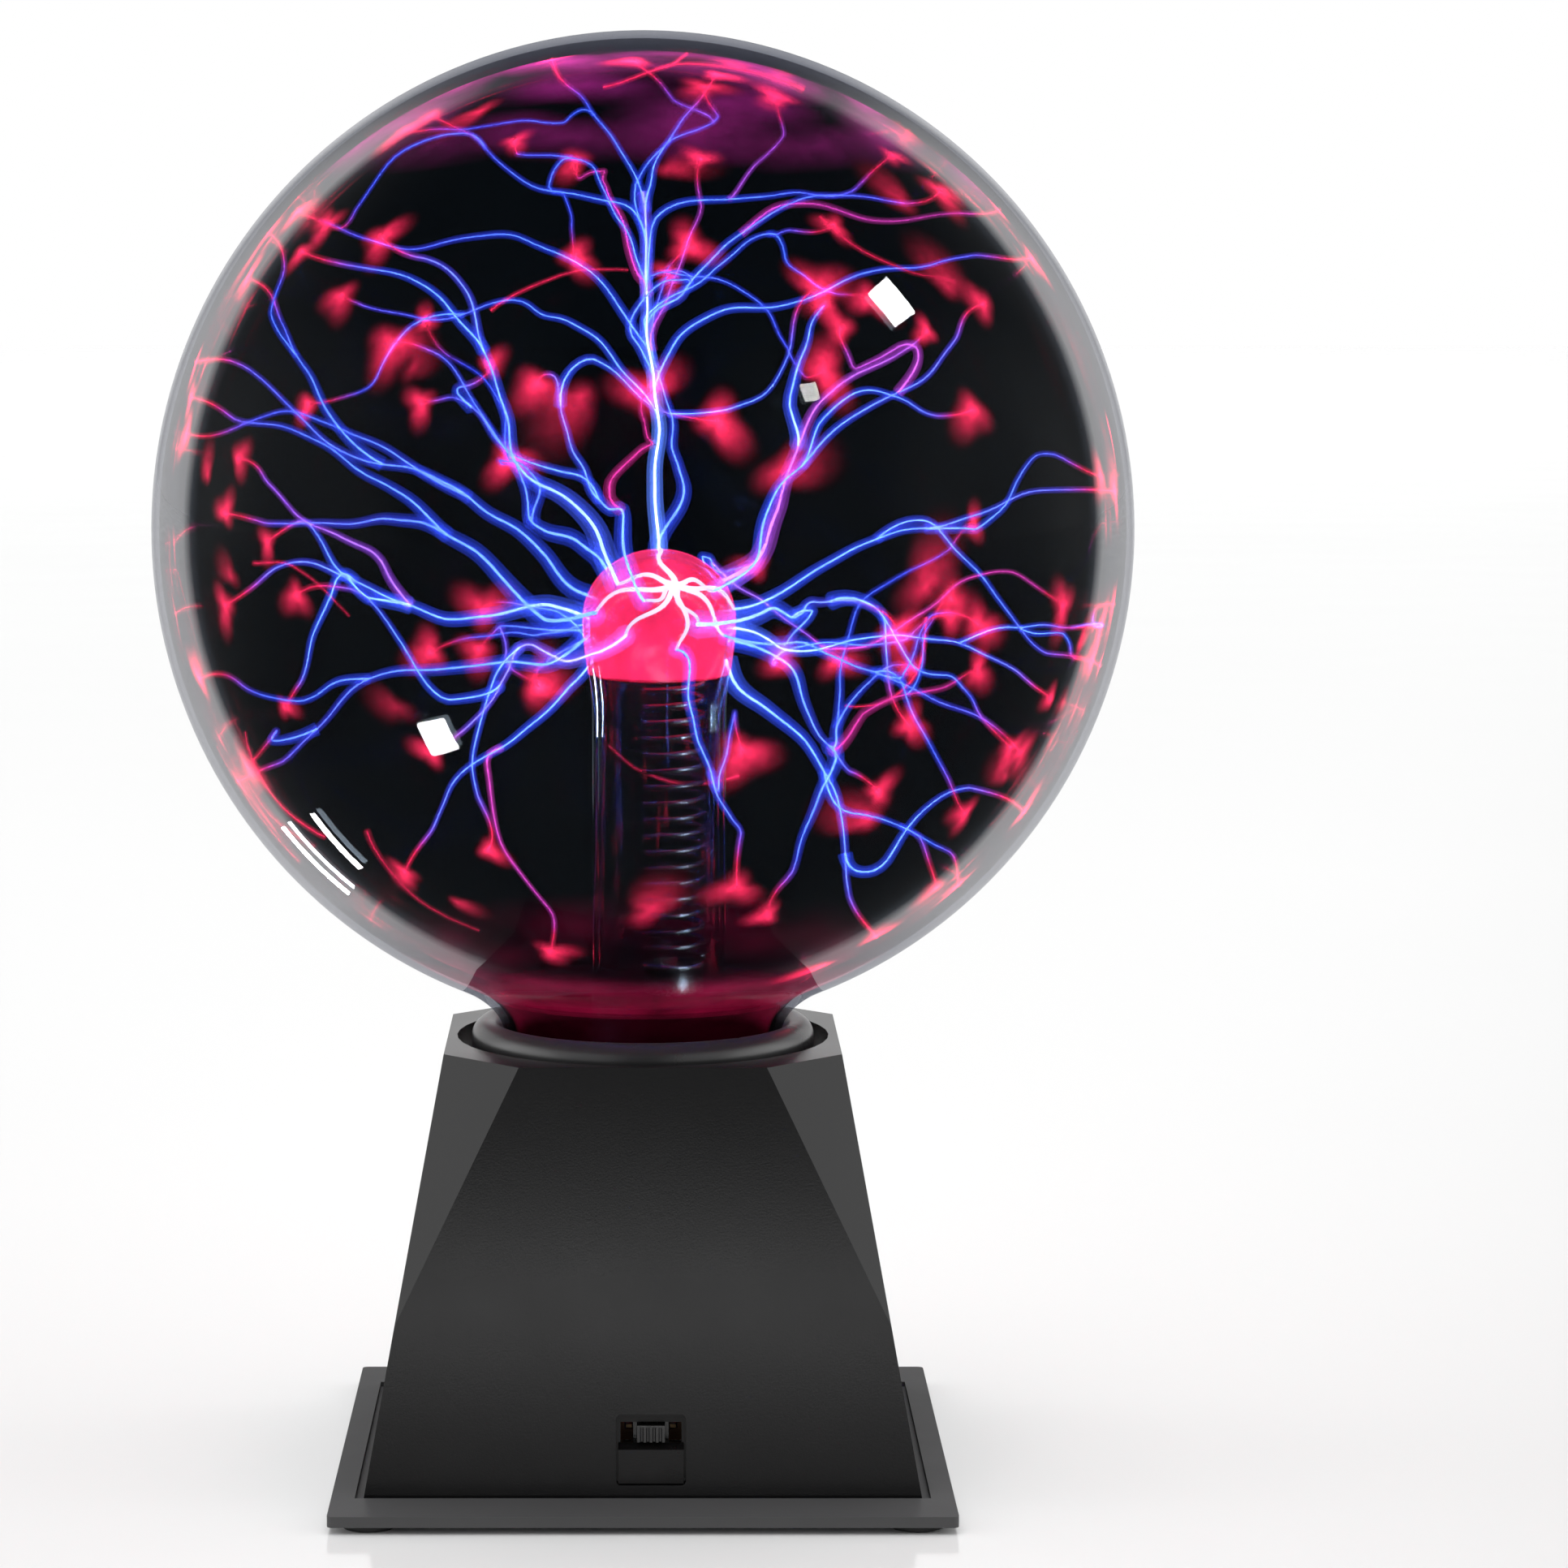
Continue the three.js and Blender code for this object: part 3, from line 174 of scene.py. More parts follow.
def with_inner_wall(outer, wall):
    """The outline of a shell of even thickness under an outer line that ends on the axis."""
    inner = []
    for i, (radius, height) in enumerate(outer):
        before = outer[max(i - 1, 0)]
        after = outer[min(i + 1, len(outer) - 1)]
        along = Vector((after[0] - before[0], after[1] - before[1])).normalized()
        if radius == 0:
            inner.append((0.0, height - wall))
        else:
            inner.append((max(radius - along.y * wall, 0), height + along.x * wall))
    inner[0] = (inner[0][0], outer[0][1])
    return outer + inner[::-1]


class TubeBuilder:
    """Gathers tapering tubes into one mesh. Each point has a warmth, from blue at 0 to pink at 1,
    and a power, which scales its light."""

    def __init__(self, sides):
        self.sides = sides
        self.points, self.faces, self.warmth, self.power = [], [], [], []

    def add(self, path, radii, warmth, power):
        start = len(self.points)
        side = None
        count = len(path)
        for i, point in enumerate(path):
            along = (path[min(i + 1, count - 1)] - path[max(i - 1, 0)]).normalized()
            if side is None:
                side = along.orthogonal().normalized()
            side = (side - along * side.dot(along)).normalized()
            across = along.cross(side)
            for k in range(self.sides):
                angle = math.tau * k / self.sides
                offset = side * math.cos(angle) + across * math.sin(angle)
                self.points.append(point + offset * radii[i])
            self.warmth += [warmth[i]] * self.sides
            self.power += [power[i]] * self.sides
        self.faces += ring_faces(count, self.sides, False, start)
        self.faces.append(tuple(start + k for k in reversed(range(self.sides))))
        self.faces.append(tuple(start + (count - 1) * self.sides + k for k in range(self.sides)))

    def build(self, name):
        thing = mesh_object(name, self.points, self.faces)
        # Cycles keeps the name "heat" for smoke, so an attribute called that would read as zero.
        add_attribute(thing, "warmth", self.warmth)
        add_attribute(thing, "power", self.power)
        return thing


def add_attribute(thing, name, values):
    layer = thing.data.attributes.new(name, "FLOAT", "POINT")
    layer.data.foreach_set("value", np.array(values, np.float32))


# ------------------------------------------------------------------ node helpers

class Nodes:
    """A material's node tree, cleared and ready to fill."""

    def __init__(self, name):
        self.material = bpy.data.materials.new(name)
        self.material.use_nodes = True
        self.tree = self.material.node_tree
        self.tree.nodes.clear()
        self.output = self.tree.nodes.new("ShaderNodeOutputMaterial")

    def add(self, kind, inputs=None, **settings):
        node = self.tree.nodes.new("ShaderNode" + kind)
        for key, value in settings.items():
            setattr(node, key, value)
        for key, value in (inputs or {}).items():
            if isinstance(value, bpy.types.NodeSocket):
                self.tree.links.new(value, node.inputs[key])
            else:
                node.inputs[key].default_value = value
        return node

    def finish(self, shader):
        self.tree.links.new(shader, self.output.inputs["Surface"])
        return self.material

    def ramp(self, factor, stops, mode="EASE"):
        node = self.add("ValToRGB", {"Fac": factor})
        node.color_ramp.interpolation = mode
        elements = node.color_ramp.elements
        while len(elements) < len(stops):
            elements.new(0.5)
        for element, (place, colour) in zip(elements, stops):
            element.position = place
            element.color = (*colour, 1)
        return node.outputs["Color"]

    def math(self, operation, a, b, clamp=False):
        node = self.add("Math", {0: a, 1: b}, operation=operation, use_clamp=clamp)
        return node.outputs[0]

    def range(self, value, low, high, to_low=0.0, to_high=1.0):
        node = self.add("MapRange", {
            "Value": value, "From Min": low, "From Max": high, "To Min": to_low, "To Max": to_high})
        return node.outputs["Result"]

    def mix(self, factor, a, b):
        node = self.add("Mix", data_type="RGBA")
        for socket, value in (("Factor", factor), ("A", a), ("B", b)):
            found = [s for s in node.inputs if s.name == socket and s.enabled][0]
            if isinstance(value, bpy.types.NodeSocket):
                self.tree.links.new(value, found)
            else:
                found.default_value = value
        return [s for s in node.outputs if s.enabled][0]

    def attribute(self, name):
        return self.add("Attribute", attribute_name=name).outputs["Fac"]

    def height(self):
        """Height above the floor, because the pieces' own axes are the frame's."""
        return self.add("SeparateXYZ", {0: self.add("TexCoord").outputs["Object"]}).outputs["Z"]

    def noise(self, scale, detail=4.0, roughness=0.5, distortion=0.0):
        place = self.add("TexCoord").outputs["Object"]
        return self.add("TexNoise", {
            "Vector": place, "Scale": scale, "Detail": detail, "Roughness": roughness,
            "Distortion": distortion}).outputs["Fac"]


PLASTIC_GRAIN = 0.04 * MM
METAL_GRAIN = 0.02 * MM


def moulded_plastic(name, colour, roughness, variation=0.12, gloss=0.5, uneven=0.055):
    """Injection-moulded plastic: fine satin grain, faint colour drift and uneven polish."""
    n = Nodes(name)
    broad = n.noise(22, 3)
    fine = n.noise(2600, 2, 0.6)
    dark = tuple(c * (1 - variation) for c in colour) + (1,)
    light = tuple(c * (1 + variation) for c in colour) + (1,)
    tint = n.mix(broad, dark, light)
    polish = n.range(n.noise(60, 5, 0.6), 0.3, 0.7, roughness - uneven, roughness + uneven)
    bump = n.add("Bump", {"Height": fine, "Strength": 0.35, "Distance": PLASTIC_GRAIN})
    shader = n.add("BsdfPrincipled", {
        "Base Color": tint, "Roughness": polish, "Normal": bump.outputs["Normal"],
        "Specular IOR Level": gloss})
    return n.finish(shader.outputs[0])


def metal(name, colour, roughness, brushed=0.0):
    """Plated or drawn metal with fine scratches and a slightly cloudy polish."""
    n = Nodes(name)
    cloud = n.noise(140, 4)
    scratch = n.noise(1800, 3, 0.7)
    dark = tuple(c * 0.86 for c in colour) + (1,)
    light = tuple(min(c * 1.08, 1) for c in colour) + (1,)
    tint = n.mix(cloud, dark, light)
    polish = n.range(scratch, 0.3, 0.7, roughness - 0.06, roughness + 0.08)
    bump = n.add("Bump", {"Height": scratch, "Strength": 0.25 + brushed, "Distance": METAL_GRAIN})
    shader = n.add("BsdfPrincipled", {
        "Base Color": tint, "Metallic": 1.0, "Roughness": polish, "Normal": bump.outputs["Normal"]})
    return n.finish(shader.outputs[0])


def mirrored_glass(n, tint, mirror):
    """Glass as a tinted see-through wall with a mirror share over it."""
    see = n.add("BsdfTransparent", {"Color": tint})
    shine = n.add("BsdfGlossy", {"Roughness": 0.0, "Color": (1, 1, 1, 1)})
    return n.add("MixShader", {0: mirror, 1: see.outputs[0], 2: shine.outputs[0]}).outputs[0]


def stem_look():
    """Clear glass that mirrors more at a slant."""
    n = Nodes("stem_glass_look")
    facing = n.add("LayerWeight", {"Blend": 0.5}).outputs["Facing"]
    tint = n.ramp(facing, [(0.55, (0.93, 0.95, 0.96)), (0.98, (0.35, 0.42, 0.45))])
    mirror = n.math("ADD", n.math("MULTIPLY", n.math("POWER", facing, 4.0), 0.85), 0.06, clamp=True)
    return n.finish(mirrored_glass(n, tint, mirror))


# The globe's wall starts to mirror between two slants. Over the neck and near the crown the mirror share is
# cut down: painted shade on the bright edge, standing in for the tower blocking the reflection below and a
# darker rim at the top.
EDGE_START, EDGE_END, EDGE_MIRROR = 0.61, 0.65, 0.24
FACE_MIRROR = 0.002
EDGE_NECK = (globe_low.z + 22 * MM, globe_low.z + 46 * MM)
EDGE_CROWN = (globe_high.z - 20 * MM, globe_high.z - 6 * MM)


def globe_look():
    """Glass tinted dark as painted shade for dark surroundings seen through it, with a clear bright edge
    where the wall is seen slantwise.
    """
    n = Nodes("globe_glass_look")
    facing = n.add("LayerWeight", {"Blend": 0.5}).outputs["Facing"]
    # Painted shade: the wall's dark, mottled see-through tint stands in for dark surroundings behind the
    # glass.
    shade_tint_mottle = n.range(n.noise(14, 3, 0.5), 0.3, 0.7)
    body = n.mix(shade_tint_mottle, (0.195, 0.218, 0.240, 1), (0.218, 0.242, 0.264, 1))
    tint = n.mix(n.range(facing, 0.58, 0.70), body, (0.44, 0.45, 0.49, 1))
    grazing = n.math("MULTIPLY", n.math("POWER", facing, 6.0), 0.25)
    edge = n.range(facing, EDGE_START, EDGE_END, FACE_MIRROR, EDGE_MIRROR)
    height = n.height()
    # Painted shade: less mirror over the neck and near the crown.
    neck_painted_shade = n.range(height, EDGE_NECK[0], EDGE_NECK[1], 0.12, 1.0)
    crown_painted_shade = n.range(height, EDGE_CROWN[0], EDGE_CROWN[1], 1.0, 0.25)
    share = n.math("MULTIPLY", neck_painted_shade, crown_painted_shade)
    faint = n.math("MULTIPLY", grazing, crown_painted_shade)
    mirror = n.math("ADD", faint, n.math("MULTIPLY", edge, share), clamp=True)
    return n.finish(mirrored_glass(n, tint, mirror))


def dress(thing, material):
    thing.data.materials.clear()
    thing.data.materials.append(material)
    return thing


def ride(thing, slot, *replaced):
    """Rides a piece on the base and hides the CAD nodes it stands for. Its material slot is not used."""
    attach(thing, BODY)
    if replaced:
        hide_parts(*replaced)
    return thing


def glowing(thing, material):
    """Finishes a piece of the discharge, which is seen, and mirrored in gloss, but doesn't colour
    the floor."""
    thing.visible_diffuse = False
    return ride(dress(thing, material), "electrode_coat")


# ------------------------------------------------------------------ globe and stem

def globe_outer_line():
    """The neck, the curve of its shoulder, and the ball, which is a little taller than it is wide."""
    angle = -math.acos(NECK_END_R / GLOBE_R)
    end_z = GLOBE_Z + GLOBE_RISE * math.sin(angle)
    slope = (GLOBE_RISE / GLOBE_R) / math.tan(-angle)
    control_z = end_z - slope * (NECK_END_R - NECK_R)
    line = [(NECK_R, globe_low.z)]
    line += bezier([(NECK_R, NECK_START_Z), (NECK_R, control_z), (NECK_END_R, end_z)], 16)
    line += arc((0, GLOBE_Z), (GLOBE_R, GLOBE_RISE), angle, math.pi / 2, 90)[1:]
    line[-1] = (0.0, globe_high.z)
    return line


def stem_outer_line():
    """The flared foot, the straight tube, and the slightly swollen dome."""
    foot_z = stem_low.z
    line = [(STEM_FOOT_R, foot_z)]
    line += bezier([
        (STEM_FOOT_R, foot_z + STEM_FOOT_EDGE), (STEM_FOOT_R - 9 * MM, foot_z + 3 * MM),
        (STEM_R, foot_z + 7 * MM), (STEM_R, STEM_WAIST_Z)], 16)
    line += bezier([
        (STEM_R, BULB_START_Z), (STEM_R, BULB_START_Z + 7 * MM),
        (BULB_R, BULB_Z - 7 * MM), (BULB_R, BULB_Z)], 14)
    line += arc((0, BULB_Z), (BULB_R, stem_high.z - BULB_Z), 0, math.pi / 2, 20)[1:]
    line[-1] = (0.0, stem_high.z)
    return line


def lean_to_stem_axis(thing):
    """Shifts the tube sideways above its foot, because it stands a little off the globe's axis."""
    low, high = stem_low.z + STEM_FOOT_EDGE, STEM_WAIST_Z
    for vertex in thing.data.vertices:
        t = min(max((vertex.co.z - low) / (high - low), 0), 1)
        vertex.co.x += STEM_X * t * t * (3 - 2 * t)
    return thing


globe_material = globe_look()
globe = lathe("globe", with_inner_wall(globe_outer_line(), GLOBE_WALL), 160)
ride(dress(globe, globe_material), "globe_glass", "globe_glass")
globe.visible_shadow = False

stem_material = stem_look()
stem = lean_to_stem_axis(lathe("stem", with_inner_wall(stem_outer_line(), STEM_WALL), 72))
ride(dress(stem, stem_material), "stem_glass", "stem_glass")
stem.visible_shadow = False


# ------------------------------------------------------------------ discharge

DOME = Vector((STEM_X, 0, BULB_Z))
DOME_RISE = stem_high.z - BULB_Z
COAT_DEPTH = BULB_Z - LINER_FOOT_Z
WALL_GAP = 1.0 * MM
DISCHARGE_R = GLOBE_R - GLOBE_WALL - WALL_GAP
GOLDEN_TURN = math.pi * (3 - math.sqrt(5))

# The streamers repel each other, so they leave the dome all round and land evenly over the globe,
# each band between two elevations in degrees.
SIDE_TRUNKS = 21
SIDE_LOWEST, SIDE_HIGHEST = -62, 40
CROWN_TWIGS = 13
CROWN_LOWEST, CROWN_HIGHEST = 30, 84

# The upright column: its top, how far up its first twig leaves, its radii in millimetres, its power.
COLUMN_TOP = GLOBE_Z + 70 * MM
COLUMN_FIRST_TWIG = 0.36
COLUMN_WIDE, COLUMN_NARROW = 0.62, 0.44
COLUMN_POWER = 1.9

# A streamer's radius at the wall in millimetres, the shares of its radius that its core and the
# tubes of its halo have, and how far from the wall it starts to turn pink.
THIN = 0.16
CORE_SHARE = 0.42
HALO_SHARES = (1.1, 1.9, 3.0)
PINK_LENGTH = 17 * MM

# Where a streamer's way bends, as shares of its span, and the length of one step along it.
HEADING_SHARE = 0.34
LANDING_SHARE = 0.3
RISE_SHARE = 0.07
PATH_STEP = 1.5 * MM

# The light on the wall and in the gas, spread over bands between two elevations in degrees.
FEATHERS = 22
FEATHER_LOWEST, FEATHER_HIGHEST = -76, 84
WALL_STROKES = 9
STROKE_STEPS = 16
STROKE_STEP = 2.2 * MM
CROWN_HAZES = 24
CROWN_HAZE_LOWEST, CROWN_HAZE_HIGHEST = 50, 86
NECK_HAZES = 12
NECK_HAZE_LOWEST, NECK_HAZE_HIGHEST = -69, -62
NECK_HAZE_SHARE = 0.25

# Each sideways wave of a streamer: its length and its size, in millimetres. The waves grow over
# the first stretch from each end.
WAVES = ((68, 3.6), (29, 0.8), (12, 0.16))
WAVE_START = 11 * MM

# Strengths of the light, of which the globe's dark tint, painted shade, lets only about a twentieth through.
# A pair is the least and the most over a mottled surface.
CORE_GLOW = 30.0
HALO_GLOW = 1.6
FOOT_GLOW = 36.0
HAZE_GLOW = 10.0
NECK_GLOW_SHARE = 0.022
COAT_GLOW = (12.0, 24.0)
SHEATH_GLOW = (5.0, 7.0)
CRAWLER_GLOW = 24.0

chance = random.Random(31)


def direction(azimuth, elevation):
    """A unit vector from its angles in degrees. Azimuth runs anticlockwise from +X."""
    a, e = math.radians(azimuth), math.radians(elevation)
    return Vector((math.cos(e) * math.cos(a), math.cos(e) * math.sin(a), math.sin(e)))


def nudged(d, least, most):
    """A direction turned by between two angles in degrees, any way round."""
    side = Quaternion(d, chance.uniform(0, math.tau)) @ d.orthogonal().normalized()
    return Quaternion(side, math.radians(chance.uniform(least, most))) @ d


def even_directions(count, lowest, highest, stray):
    """Directions spread evenly over a band between two elevations, each strayed a little."""
    low, high = math.sin(math.radians(lowest)), math.sin(math.radians(highest))
    found = []
    for k in range(count):
        z = low + (high - low) * (k + 0.5) / count
        flat = math.sqrt(1 - z * z)
        angle = k * GOLDEN_TURN
        found.append(nudged(Vector((flat * math.cos(angle), flat * math.sin(angle), z)), 0, stray))
    return found


def on_wall(d, inset=0.0):
    """The point just inside the globe's wall, in a direction from its middle."""
    return GLOBE_CENTRE + d.normalized() * (DISCHARGE_R - inset)


def on_dome(d, lift=0.0):
    """The point on the stem's bulb, or on its side below, in a direction from the bulb's middle."""
    flat = Vector((d.x, d.y, 0))
    reach = max(flat.length * BULB_R, STEM_R if d.z < 0 else 0.0)
    spot = flat.normalized() * reach if flat.length > TINY else Vector((0, 0, 0))
    spot.z = d.z * (DOME_RISE if d.z > 0 else COAT_DEPTH)
    return DOME + spot + d * lift


def drift(start, heading, end):
    """A streamer's way: off along its heading, up a little on its own heat, then out to the wall."""
    span = (end - start).length
    out = (end - GLOBE_CENTRE).normalized()
    lift = Vector((0, 0, RISE_SHARE * span))
    first = start + heading * span * HEADING_SHARE + lift
    last = end - out * span * LANDING_SHARE + lift
    return [Vector(p) for p in bezier([start, first, last, end], max(12, round(span / PATH_STEP)))]


def wander(path):
    """Sideways waves of several sizes, so that no streamer is a perfect curve. The ends stay put."""
    along = (path[-1] - path[0]).normalized()
    side = along.orthogonal().normalized()
    up = along.cross(side)
    phases = [(chance.uniform(0, math.tau), chance.uniform(0, math.tau)) for _ in WAVES]
    total = sum((b - a).length for a, b in zip(path, path[1:]))
    run = 0.0
    moved = []
    for i, point in enumerate(path):
        if i:
            run += (point - path[i - 1]).length
        free = min(run / WAVE_START, max(total - run, 0) / WAVE_START, 1.0)
        shift = Vector((0, 0, 0))
        for (length, size), (first, second) in zip(WAVES, phases):
            turn = math.tau * run / (length * MM)
            shift += (side * math.sin(turn + first) + up * math.sin(turn * 0.83 + second)) * size * MM
        spot = point + shift * free - GLOBE_CENTRE
        spot *= min(1.0, DISCHARGE_R / spot.length)
        moved.append(GLOBE_CENTRE + spot)
    return moved


# A star's round middle as a share of its size, and how narrow its points are.
RAY_HUB = 0.42
RAY_SHARPNESS = 3

# The rings of points in a patch, and how far inside the streamers' ends it lies.
PATCH_ROWS = 10
PATCH_INSET = 0.3 * MM


class PatchBuilder:
    """Gathers soft-edged patches of light that lie on the inside of the globe."""

    def __init__(self, softness, columns):
        self.softness, self.columns = softness, columns
        self.points, self.faces, self.power = [], [], []

    def lay(self, d, turn, power, outline):
        """A patch at slant turn from level. outline gives its edge at an angle, along and across."""
        middle_point = on_wall(d, PATCH_INSET)
        out = (middle_point - GLOBE_CENTRE).normalized()
        level = Vector((0, 0, 1)).cross(out)
        level = level.normalized() if level.length > TINY else Vector((1, 0, 0))
        along = level * math.cos(turn) + out.cross(level) * math.sin(turn)
        across = out.cross(along)
        reach = (middle_point - GLOBE_CENTRE).length
        start = len(self.points)
        for i in range(PATCH_ROWS + 1):
            share = i / PATCH_ROWS
            for k in range(self.columns):
                ahead, aside = outline(math.tau * k / self.columns)
                spot = middle_point + (along * ahead + across * aside) * share
                self.points.append(GLOBE_CENTRE + (spot - GLOBE_CENTRE).normalized() * reach)
                self.power.append(power * (1 - share) ** self.softness)
        self.faces += ring_faces(PATCH_ROWS + 1, self.columns, False, start)

    def oval(self, d, length, width, turn, power):
        """A patch with an oval edge."""
        self.lay(d, turn, power, lambda a: (math.cos(a) * length / 2, math.sin(a) * width / 2))

    def star(self, d, size, turn, power, rays):
        """A patch with soft points. rays pairs each point's angle with its reach."""
        def outline(a):
            points = sum(reach * max(0.0, math.cos(a - angle)) ** RAY_SHARPNESS for angle, reach in rays)
            edge = size * (RAY_HUB + points)
            return math.cos(a) * edge, math.sin(a) * edge
        self.lay(d, turn, power, outline)

    def build(self, name):
        thing = mesh_object(name, self.points, self.faces)
        add_attribute(thing, "power", self.power)
        return thing


core = TubeBuilder(8)
halo = TubeBuilder(8)
patches = PatchBuilder(2.3, 32)
hazes = PatchBuilder(1.2, 20)
roots = []


def foot(path):
    """The pink spread of light where a streamer meets the wall, trailing on the way it arrived."""
    d = path[-1] - GLOBE_CENTRE
    out = d.normalized()
    arrival = path[-1] - path[-8]
    arrival -= out * arrival.dot(out)
    level = Vector((0, 0, 1)).cross(out).normalized()
    turn = math.atan2(arrival.dot(out.cross(level)), arrival.dot(level))
    size = chance.uniform(6.0, 10.0) * MM
    power = chance.uniform(0.9, 1.3)
    spread = chance.uniform(1.5, 2.4)
    turn += chance.uniform(-0.6, 0.6)
    side = chance.uniform(0.35, 0.75)
    patches.star(d, size, turn, power, ((0.0, 0.75), (spread, side), (-spread, side * 0.5)))


def streamer(path, wide, narrow, power, tone, lands=True):
    """Adds a streamer's core and halo. Radii are in millimetres, and tone is its least warmth."""
    left = [0.0]
    for a, b in zip(path[::-1], path[-2::-1]):
        left.append(left[-1] + (a - b).length)
    left.reverse()
    # From here t runs from 0 at the root to 1 at the end, and near rises to 1 as it lands.
    warmth, radii, strength = [], [], []
    for away in left:
        t = 1 - away / left[0]
        near = max(0.0, 1 - away / PINK_LENGTH) if lands else 0.0
        warmth.append(max(tone, 0.3 * t * t, near))
        radii.append((wide + (narrow - wide) * t ** 0.75) * MM * (1 + 0.5 * near))
        strength.append(power * (1.12 - 0.5 * t))
    core.add(path, [r * CORE_SHARE for r in radii], warmth, strength)
    for share in HALO_SHARES:
        halo.add(path, [r * share for r in radii], warmth, strength)
    if lands:
        foot(path)


def grow(start, heading, d, wide, power, forks):
    """A streamer out to the wall in direction d, and the forks that leave it on the way."""
    path = wander(drift(start, heading, on_wall(d)))
    tone = chance.uniform(0.2, 0.6) if chance.random() < 0.2 else chance.uniform(0.0, 0.1)
    streamer(path, wide, THIN, power, tone)
    for _ in range(forks):
        i = min(max(round(len(path) * chance.uniform(0.28, 0.78)), 3), len(path) - 4)
        onward = (path[i + 3] - path[i - 3]).normalized()
        more = 1 if forks > 1 and chance.random() < 0.45 else 0
        grow(path[i], onward, nudged(d, 9, 24), wide * chance.uniform(0.5, 0.75),
             power * chance.uniform(0.75, 0.95), more)


def column():
    """The hot upright streamer over the dome, and the twigs that leave it for the crown."""
    foot_point = on_dome(Vector((0, 0, 1)))
    tip = Vector((0, 4 * MM, COLUMN_TOP))
    lean = Vector((0, 0, 0.35)) * (tip - foot_point).length
    path = wander([Vector(p) for p in bezier([foot_point, foot_point + lean, tip - lean, tip], 60)])
    streamer(path, COLUMN_WIDE, COLUMN_NARROW, COLUMN_POWER, 0.0, lands=False)
    for d in even_directions(CROWN_TWIGS, CROWN_LOWEST, CROWN_HIGHEST, 7):
        share = COLUMN_FIRST_TWIG + (1 - COLUMN_FIRST_TWIG) * max(d.z - 0.5, 0) / 0.5
        i = min(max(round(share * (len(path) - 1)), 3), len(path) - 4)
        onward = (path[i + 3] - path[i - 3]).normalized() + Vector((d.x, d.y, 0)) * 0.5
        grow(path[i], onward.normalized(), d, chance.uniform(0.34, 0.5), chance.uniform(0.8, 1.0),
             chance.choice((0, 1, 1)))


def side_trunks():
    """The streamers that leave the dome's sides."""
    for d in even_directions(SIDE_TRUNKS, SIDE_LOWEST, SIDE_HIGHEST, 8):
        root = Vector((d.x, d.y, d.z * 0.7 + 0.1)).normalized()
        roots.append(root)
        grow(on_dome(root), (root + d).normalized(), d, chance.uniform(0.5, 1.05),
             chance.uniform(0.95, 1.4), chance.choice((1, 2, 2, 3)))


def wall_stroke():
    """A pink thread of light that creeps along the globe's wall."""
    d = direction(chance.uniform(0, 360), chance.uniform(-50, 70))
    axis = nudged(d, 88, 92)
    path = []
    for _ in range(STROKE_STEPS):
        path.append(on_wall(d))
        d = Quaternion(axis, STROKE_STEP / DISCHARGE_R) @ d
        axis = Quaternion(d, chance.uniform(-0.05, 0.22)) @ axis
    streamer(path, chance.uniform(0.2, 0.32), THIN, chance.uniform(0.5, 1.0), 1.0, lands=False)


def feather(d):
    """A faint brush of pink light on the wall, with one long point and one or two short ones."""
    size = chance.uniform(6, 12) * MM
    points = [(0.0, 1.0), (chance.uniform(0.5, 1.2), chance.uniform(0.3, 0.6))]
    if chance.random() < 0.5:
        points.append((chance.uniform(2.4, 3.6), chance.uniform(0.3, 0.5)))
    patches.star(d, size, chance.uniform(0, math.tau), chance.uniform(0.25, 0.7), points)


column()
side_trunks()
for _ in range(WALL_STROKES):
    wall_stroke()
for d in even_directions(FEATHERS, FEATHER_LOWEST, FEATHER_HIGHEST, 9):
    feather(d)
crown_hazes = even_directions(CROWN_HAZES, CROWN_HAZE_LOWEST, CROWN_HAZE_HIGHEST, 6)
neck_hazes = even_directions(NECK_HAZES, NECK_HAZE_LOWEST, NECK_HAZE_HIGHEST, 3)
for d in crown_hazes + neck_hazes:
    hazes.oval(d, chance.uniform(34, 58) * MM, chance.uniform(14, 24) * MM, chance.uniform(-0.2, 0.2),
               chance.uniform(0.3, 0.6) * (1.0 if d.z > 0 else NECK_HAZE_SHARE))


# How the light turns from blue through violet to pink as its warmth rises.
WARMING = ((0.0, (0.10, 0.08, 1.0)), (0.35, (0.50, 0.07, 0.70)), (0.7, (1.0, 0.02, 0.08)))


def glow_colour(n, dim, mid, hot):
    """Blue that whitens with power, and turns to pink as warmth rises. Also gives the power."""
    warmth = n.attribute("warmth")
    power = n.attribute("power")
    cooling = ((0.0, dim), (0.45, mid), (0.62, mid), (1.0, hot))
    blue = n.ramp(n.range(power, 0.4, 1.7), cooling, "LINEAR")
    pink = n.ramp(warmth, WARMING, "LINEAR")
    return n.mix(n.range(warmth, 0.05, 0.6), blue, pink), power


def streamer_look():
    """The bright thread in a streamer's middle."""
    n = Nodes("streamer_core")
    colour, power = glow_colour(n, (0.06, 0.10, 1.0), (0.20, 0.36, 1.0), (0.85, 0.95, 1.0))
    light = n.add("Emission", {"Color": colour, "Strength": n.math("MULTIPLY", power, CORE_GLOW)})
    return n.finish(light.outputs[0])


def soft_light(n, colour, amount):
    """Light added over whatever is behind it."""
    light = n.add("Emission", {"Color": colour, "Strength": amount})
    see = n.add("BsdfTransparent", {"Color": (1, 1, 1, 1)})
    return n.finish(n.add("AddShader", {0: light.outputs[0], 1: see.outputs[0]}).outputs[0])


def halo_look():
    """Faint light on the nested tubes round each streamer, so it fades outwards in steps."""
    n = Nodes("streamer_halo")
    colour, power = glow_colour(n, (0.03, 0.05, 1.0), (0.05, 0.10, 1.0), (0.16, 0.28, 1.0))
    return soft_light(n, colour, n.math("MULTIPLY", power, HALO_GLOW))


